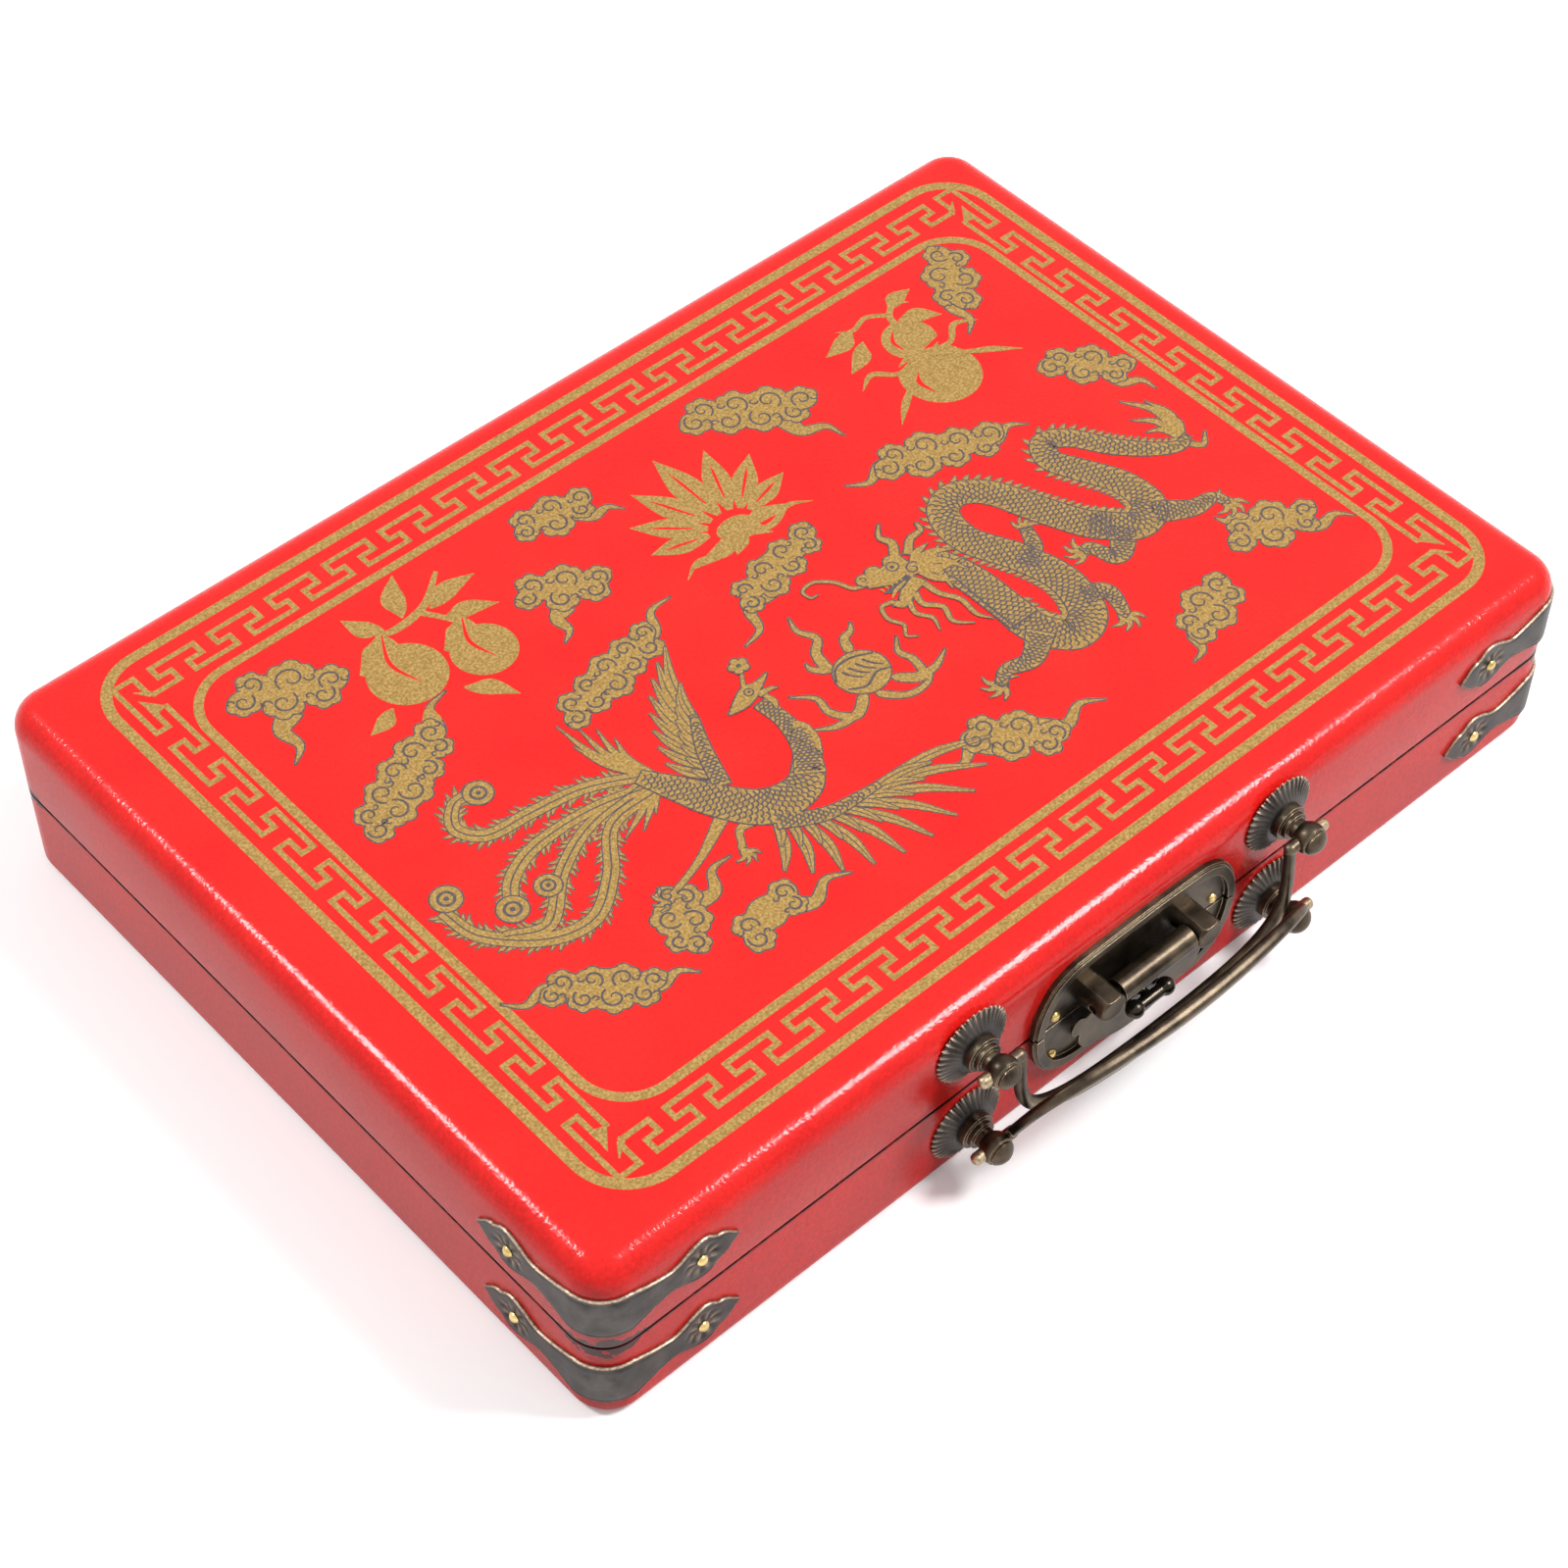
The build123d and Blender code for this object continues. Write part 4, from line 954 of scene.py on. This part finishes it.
# Each ink is one thin sheet of strips, every layer a hair above the one under it, all facing up.
for ink_name, material in (("gold", gold), ("line", ink), ("red", leather)):
    verts, faces, count = [], [], 0
    for rank, (layer, strip) in enumerate(strips[ink_name]):
        z = lid_high[2] + print_lift + layer_step * layer + strip_step * (rank % strip_steps)
        flat = np.column_stack([strip.reshape(-1, 2), np.full(2 * len(strip), z)])
        first = count + 2 * np.arange(len(strip) - 1)
        quads = np.stack([first, first + 2, first + 3, first + 1], 1)
        a, b, c = (flat[quads[:, k] - count] for k in (0, 1, 2))
        faces_down = np.cross(b - a, c - a)[:, 2] < 0
        quads[faces_down] = quads[faces_down][:, ::-1]
        verts.append(flat * MM)
        faces.append(quads)
        count += len(flat)
    mesh = bpy.data.meshes.new(f"lid_print_{ink_name}")
    mesh.from_pydata(np.vstack(verts).tolist(), [], np.vstack(faces).tolist())
    mesh.materials.append(material)
    piece = bpy.data.objects.new(f"lid_print_{ink_name}", mesh)
    bpy.context.scene.collection.objects.link(piece)
    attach(piece, "case_lid")


# ---------------------------------------------------------------------------
# The metal: thin pressed steel gone nearly black, cast bronze rubbed bright on its
# edges, and small brass nails.

metal_age, age_in, age_out = node_group("metal_age", [("Wear and painted highlight", 0.0)], ["Stain", "Bright", "Height"])
age_place = age_in.outputs["Vector"]
pitting = noise(metal_age, age_place, 1300.0, 3.0)
ragged = remap(metal_age, pitting, From_Min=0.3, From_Max=0.6, To_Min=0.35, To_Max=1.15)
# Wear, plus the painted highlight between the strap flutes, made ragged by the pitting.
worn_and_highlit = calc(metal_age, "MULTIPLY", age_in.outputs["Wear and painted highlight"], ragged, clamp=True)
metal_age.links.new(noise(metal_age, age_place, 170.0, 6.0), age_out.inputs["Stain"])
metal_age.links.new(worn_and_highlit, age_out.inputs["Bright"])
metal_age.links.new(pitting, age_out.inputs["Height"])


def metal(name, dark, middle, bright, rough, pit=0.25, edge=0.00035):
    """Aged metal: stained between two tones, and lightened at worn edges and where the wear_and_highlight
    value is high, which is wear and, between the strap flutes, a painted highlight.

    An edge is where the surface rounded by the edge radius leans away from the true surface.
    """
    material, tree, shader, place = new_material(name)
    rounded = add(tree, "ShaderNodeBevel", Radius=edge, samples=4).outputs[0]
    true = add(tree, "ShaderNodeNewGeometry").outputs["Normal"]
    dot = add(tree, "ShaderNodeVectorMath", [(0, rounded), (1, true)], operation="DOT_PRODUCT")
    lean = remap(tree, dot.outputs["Value"], From_Min=0.985, From_Max=0.86, To_Max=0.9)
    wear_and_highlight = add(tree, "ShaderNodeAttribute", attribute_name="wear_and_highlight")
    age = place_group(tree, metal_age, place)
    tree.links.new(calc(tree, "ADD", lean, wear_and_highlight.outputs["Fac"]), age.inputs["Wear and painted highlight"])
    tone = ramp(tree, age.outputs["Stain"], [(0.35, dark), (0.65, middle)])
    tree.links.new(blend(tree, age.outputs["Bright"], tone, bright), shader.inputs["Base Color"])
    dull = remap(tree, age.outputs["Stain"], To_Min=rough - 0.1, To_Max=rough + 0.14)
    tree.links.new(dull, shader.inputs["Roughness"])
    emboss(tree, shader, age.outputs["Height"], pit, 0.00015, [("Normal", rounded)])
    shader.inputs["Metallic"].default_value = 0.92
    return material


steel = metal("blackened_steel", (0.022, 0.020, 0.018), (0.082, 0.072, 0.066), (0.62, 0.45, 0.33), 0.40)
bronze = metal("antique_bronze", (0.034, 0.025, 0.018), (0.115, 0.086, 0.057), (0.48, 0.37, 0.24), 0.34)
polished = metal(
    "dark_polished_bronze", (0.022, 0.018, 0.015), (0.065, 0.052, 0.040), (0.38, 0.30, 0.22), 0.24
)
brass = metal(
    "bright_brass", (0.52, 0.36, 0.12), (0.86, 0.66, 0.28), (1.0, 0.86, 0.52), 0.26, pit=0.4, edge=0.0002
)
hinge_brass = metal("dull_brass", (0.22, 0.15, 0.06), (0.48, 0.34, 0.14), (0.80, 0.62, 0.32), 0.36)

for half in ("lid", "base"):
    dress(brass, f"{half}_bracket_nails")
    dress(bronze, f"{half}_left_handle_post", f"{half}_right_handle_post")
    dress(hinge_brass, f"{half}_left_hinge_leaf", f"{half}_right_hinge_leaf", f"{half}_hinge_nails")
dress(hinge_brass, "hinge_pins")
dress(brass, "latch_upper_nails", "latch_lower_nails")
dress(bronze, "latch_upper_plate", "latch_lower_plate", "latch_flap", "latch_hinge_pin")
dress(bronze, "latch_studs", "latch_strike")
dress(polished, "latch_knob", "latch_cam")


def cast(name, grids, material, crease):
    """Grids of points in millimetres joined into one piece, each with a wear_and_highlight value per point:
    wear, and on the straps also a painted highlight.
    """
    pieces = []
    for points, wear_and_highlight in grids:
        piece = surface(name, points, material, crease)
        wear_and_highlight_values = piece.data.attributes.new("wear_and_highlight", "FLOAT", "POINT")
        value = np.broadcast_to(wear_and_highlight, points.shape[:2]).astype(np.float32)
        wear_and_highlight_values.data.foreach_set("value", value.ravel())
        pieces.append(piece)
    first = pieces[0]
    if len(pieces) > 1:
        chosen = {"selected_objects": pieces, "selected_editable_objects": pieces}
        with bpy.context.temp_override(active_object=first, object=first, **chosen):
            bpy.ops.object.join()
    first.name = name
    return first


# ---------------------------------------------------------------------------
# Four corner straps: pressed steel bent round the front corners, with a waist and a
# leaf on each leg, flutes pressed round the nail with a painted highlight on the ridges
# between them, and a bright cut edge.

case_front = lid_low[1]
strap_sheet = 0.9
strap_leg = 40.0
strap_nail = 29.0
strap_heights = {"lid": 41.05, "base": 14.05}
flute_count, flute_ring, flute_width, flute_depth = 8, 3.3, 1.25, 0.60
groove_depth = 0.14
# Stations of the strap: distance from the corner, and half height there.
strap_shape = [(0, 7.0), (8, 7.0), (11, 6.3), (15, 4.9), (20, 3.75), (23, 4.4), (26, 6.0), (29, 6.95)]
strap_shape += [(31.5, 6.6), (33, 5.4), (34.2, 4.5), (35.5, 4.2), (37, 3.1), (38.8, 1.1), (40, 0.1)]


def strap(half, side, height):
    """A strap: stations along leg, corner arc and leg; at each, a thin closed section across the sheet.

    The half height follows smoothed stations of leaf, waist and band. The outer face sits a sheet's
    thickness out, rolls down at its edges, and dips in a groove along each edge and in eight flutes
    round the nail.
    """
    legs = np.linspace(strap_leg, corner_radius, 90)
    turns = np.linspace(0, pi / 2, 24)[1:-1]
    from_corner = np.concatenate([legs, 0 * turns, legs[::-1]])
    stations = np.array(strap_shape)
    fine = spline(np.column_stack([stations, 0 * stations[:, :1]]), 10)
    half_height = np.interp(from_corner, fine[:, 0], fine[:, 1])
    v = np.concatenate([[-1.0, -0.98], np.linspace(-0.94, 0.94, 31), [0.98, 1.0]])
    roll = strap_sheet - 0.35 * np.clip((np.abs(v) - 0.93) / 0.07, 0, 1) ** 2
    across = np.concatenate([v, v[::-1]])
    lift = np.concatenate([roll, 0 * v])
    z = height + half_height[:, None] * across[None, :]
    nail_x = from_corner[:, None] - strap_nail
    nail_z = z - height
    reach = np.hypot(nail_x, nail_z)
    angle = np.arctan2(nail_z, nail_x)
    on_leg = from_corner[:, None] > corner_radius
    outer_face = lift[None, :] > 0.1
    ring = np.exp(-(((reach - flute_ring) / flute_width) ** 2)) * on_leg
    flute = 0.5 + 0.5 * np.cos(flute_count * angle)
    dish = flute_depth * ring * flute + 0.16 * np.exp(-((reach / 2.2) ** 2)) * on_leg
    grooves = groove_depth * np.exp(-(((np.abs(across)[None, :] - 0.86) / 0.05) ** 2))
    out = lift[None, :] - (dish + grooves * np.clip(half_height[:, None] / 4, 0, 1)) * outer_face
    x = np.empty_like(z)
    y = np.empty_like(z)
    n, m = len(legs), len(turns)
    corner_x = side * case_length / 2
    x[:n] = corner_x - side * from_corner[:n, None]
    y[:n] = case_front - out[:n]
    centre_x, centre_y = corner_x - side * corner_radius, case_front + corner_radius
    x[n : n + m] = centre_x + side * (corner_radius + out[n : n + m]) * np.sin(turns)[:, None]
    y[n : n + m] = centre_y - (corner_radius + out[n : n + m]) * np.cos(turns)[:, None]
    x[n + m :] = corner_x + side * out[n + m :]
    y[n + m :] = case_front + from_corner[n + m :, None]
    # The cut edges of the outer face are worn bright. The ridges between the flutes round the nail are
    # lightened as a painted highlight, so that the flutes show.
    wear_and_highlight = 0.9 * (across[None, :] > 0.955) * outer_face + 0.40 * ring * (1 - flute) ** 2 + 0 * z
    word = "left" if side < 0 else "right"
    piece = cast(f"{half}_{word}_strap", [(np.stack([x, y, z], 2), wear_and_highlight)], steel, 50)
    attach(piece, "case_lid" if half == "lid" else "case_base")
    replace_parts(piece, f"{half}_{word}_bracket")


for half, height in strap_heights.items():
    for side in (-1, 1):
        strap(half, side, height)


# ---------------------------------------------------------------------------
# Four rosettes under the handle posts: thin pressed cups with a toothed rim and fine
# radial flutes, worn light on the ridges.

handle_x = 1.5
post_half_spacing = 51.0
handle_heights = {"lid": 45.25, "base": 14.95}
flutes = 36
tooth_depth, ripple_depth = 0.40, 0.22


def rosette(half, side, height):
    """A cup: a profile from the wall round the rim to the crown, turned once; radius and height ripple."""
    a = np.linspace(0, 2 * pi, flutes * 10, endpoint=False)
    profile = [(1.6, 0.02), (9.6, 0.02), (10.9, 0.12), (10.95, 0.55), (10.4, 1.0), (9.4, 1.30)]
    profile += [(8.2, 1.72), (7.2, 2.2), (6.4, 2.62), (5.9, 2.76), (5.4, 2.78), (1.6, 2.78)]
    r, s = np.array(profile).T
    window = np.clip((r - 5.9) / 3.0, 0, 1) * (s > 0.1)
    wave = np.cos(flutes * a)
    radius = r[:, None] + tooth_depth * (wave[None, :] - 1) * np.clip((r - 9.2) / 1.6, 0, 1)[:, None]
    stand = s[:, None] + ripple_depth * (wave[None, :] - 1) * (window * (s > 0.3))[:, None]
    x = handle_x + side * post_half_spacing + radius * np.cos(a)
    z = height + radius * np.sin(a)
    y = case_front - np.maximum(stand, 0.02)
    wear_and_highlight = (0.75 * np.clip(wave, 0, 1) ** 2)[None, :] * (window * np.clip((r - 8.8) / 2, 0.12, 1))[:, None]
    word = "left" if side < 0 else "right"
    piece = cast(f"{half}_{word}_rosette_cup", [(np.stack([x, y, z], 2), wear_and_highlight)], steel, 40)
    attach(piece, "case_lid" if half == "lid" else "case_base")
    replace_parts(piece, f"{half}_{word}_rosette")


for half, height in handle_heights.items():
    for side in (-1, 1):
        rosette(half, side, height)


# ---------------------------------------------------------------------------
# The two bails: cast bars that swell to a grip with a crisp ridge along it, and
# flatten to the pins that turn in the posts.

bail_half_span = 45.0
bail_standoff = 9.8
bail_drop = 24.5
bail_bulge = 3.0
bail_power = 2 / 5  # how square the arch is
bail_leans = {"lid": 5.0, "base": 24.0}
pin_radius = 1.6
pin_reach = 57.7
grip_thicker, grip_wider = 0.6, 1.6
ridge_height, ridge_width = 0.13, 0.24
round_steps = 28


def bail(half, height, direction, lean):
    """A squared arch swept with an oval that swells in the middle and carries a fine ridge, plus its pins.

    The middle line is x = span * cos^p, drop = depth * sin^p, bowed outwards as a parabola, with stations
    spaced evenly along its length. The pins are turned profiles, and a bead rounds each bend. The whole
    is leaned about the pins' line.
    """
    t = np.linspace(0, pi, 4001)
    c, s = np.cos(t), np.sin(t)
    x = bail_half_span * np.sign(c) * np.abs(c) ** bail_power
    bulge = -bail_bulge * (1 - (x / bail_half_span) ** 2)
    line = np.stack([x, bulge, direction * bail_drop * s**bail_power], 1)
    run = np.concatenate([[0], np.cumsum(np.linalg.norm(np.diff(line, axis=0), axis=1))])
    at = np.linspace(0, run[-1], 161)
    centre = np.stack([np.interp(at, run, line[:, k]) for k in range(3)], 1)
    kernel = np.array([1, 2, 3, 2, 1]) / 9
    ahead = np.gradient(centre, axis=0)
    for k in range(3):
        ahead[:, k] = np.convolve(np.pad(ahead[:, k], 2, mode="edge"), kernel, "valid")
    ahead /= np.linalg.norm(ahead, axis=1)[:, None]
    share = at / run[-1]
    swell = np.sin(pi * share) ** 2
    thick = (pin_radius + grip_thicker * swell)[:, None]
    wide = (pin_radius + grip_wider * swell)[:, None]
    normal = np.array([0.0, 1.0, 0.0])
    across = normal - ahead * (ahead @ normal)[:, None]
    across /= np.linalg.norm(across, axis=1)[:, None]
    beside = np.cross(ahead, across)
    a = np.linspace(0, 2 * pi, 48, endpoint=False)
    ridge = np.exp(-(((a - pi) / ridge_width) ** 2))
    flat = 1 - 0.10 * np.cos(2 * a) ** 2
    u = thick * 0.94 * np.cos(a) * flat * (1 + ridge_height * ridge * swell[:, None])
    w = wide * 0.97 * np.sin(a) * flat
    ring = centre[:, None, :] + u[:, :, None] * across[:, None, :] + w[:, :, None] * beside[:, None, :]
    wear_and_highlight = np.clip(0.85 * ridge[None, :] * np.clip(swell[:, None] * 2, 0.1, 1), 0, 1) + 0 * u
    grids = [(ring, wear_and_highlight)]
    turn = np.linspace(0, 2 * pi, round_steps, endpoint=False)
    ends = [(44.6, 0.4), (44.8, 1.4), (45.4, pin_radius), (56.6, pin_radius), (57.2, 1.4), (57.6, 0.9)]
    pin_x, pin_r = np.array(ends + [(pin_reach, 0.3)]).T[:, :, None]
    bead = np.linspace(0, pi, 13)[:, None]
    bead_r = np.maximum(pin_radius * np.sin(bead), 0.02)
    for side in (-1, 1):
        x = side * pin_x + 0 * turn
        grids.append((np.stack([x, pin_r * np.cos(turn), pin_r * np.sin(turn)], 2), 0.9 * (np.abs(x) > 56.5)))
        x = side * bail_half_span + pin_radius * np.cos(bead) + 0 * turn
        grids.append((np.stack([x, bead_r * np.cos(turn), bead_r * np.sin(turn)], 2), 0.1))
    tip = radians(direction * lean)
    placed = []
    for points, value in grids:
        x, y, z = points[..., 0], points[..., 1], points[..., 2]
        out = case_front - bail_standoff + y * cos(tip) - z * sin(tip)
        up = height + y * sin(tip) + z * cos(tip)
        placed.append((np.stack([handle_x + x, out, up], -1), value))
    piece = cast(f"{half}_cast_bail", placed, bronze, 40)
    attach(piece, f"{half}_bail")
    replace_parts(piece, f"{half}_bail")


for half, direction in (("lid", -1), ("base", 1)):
    bail(half, handle_heights[half], direction, bail_leans[half])
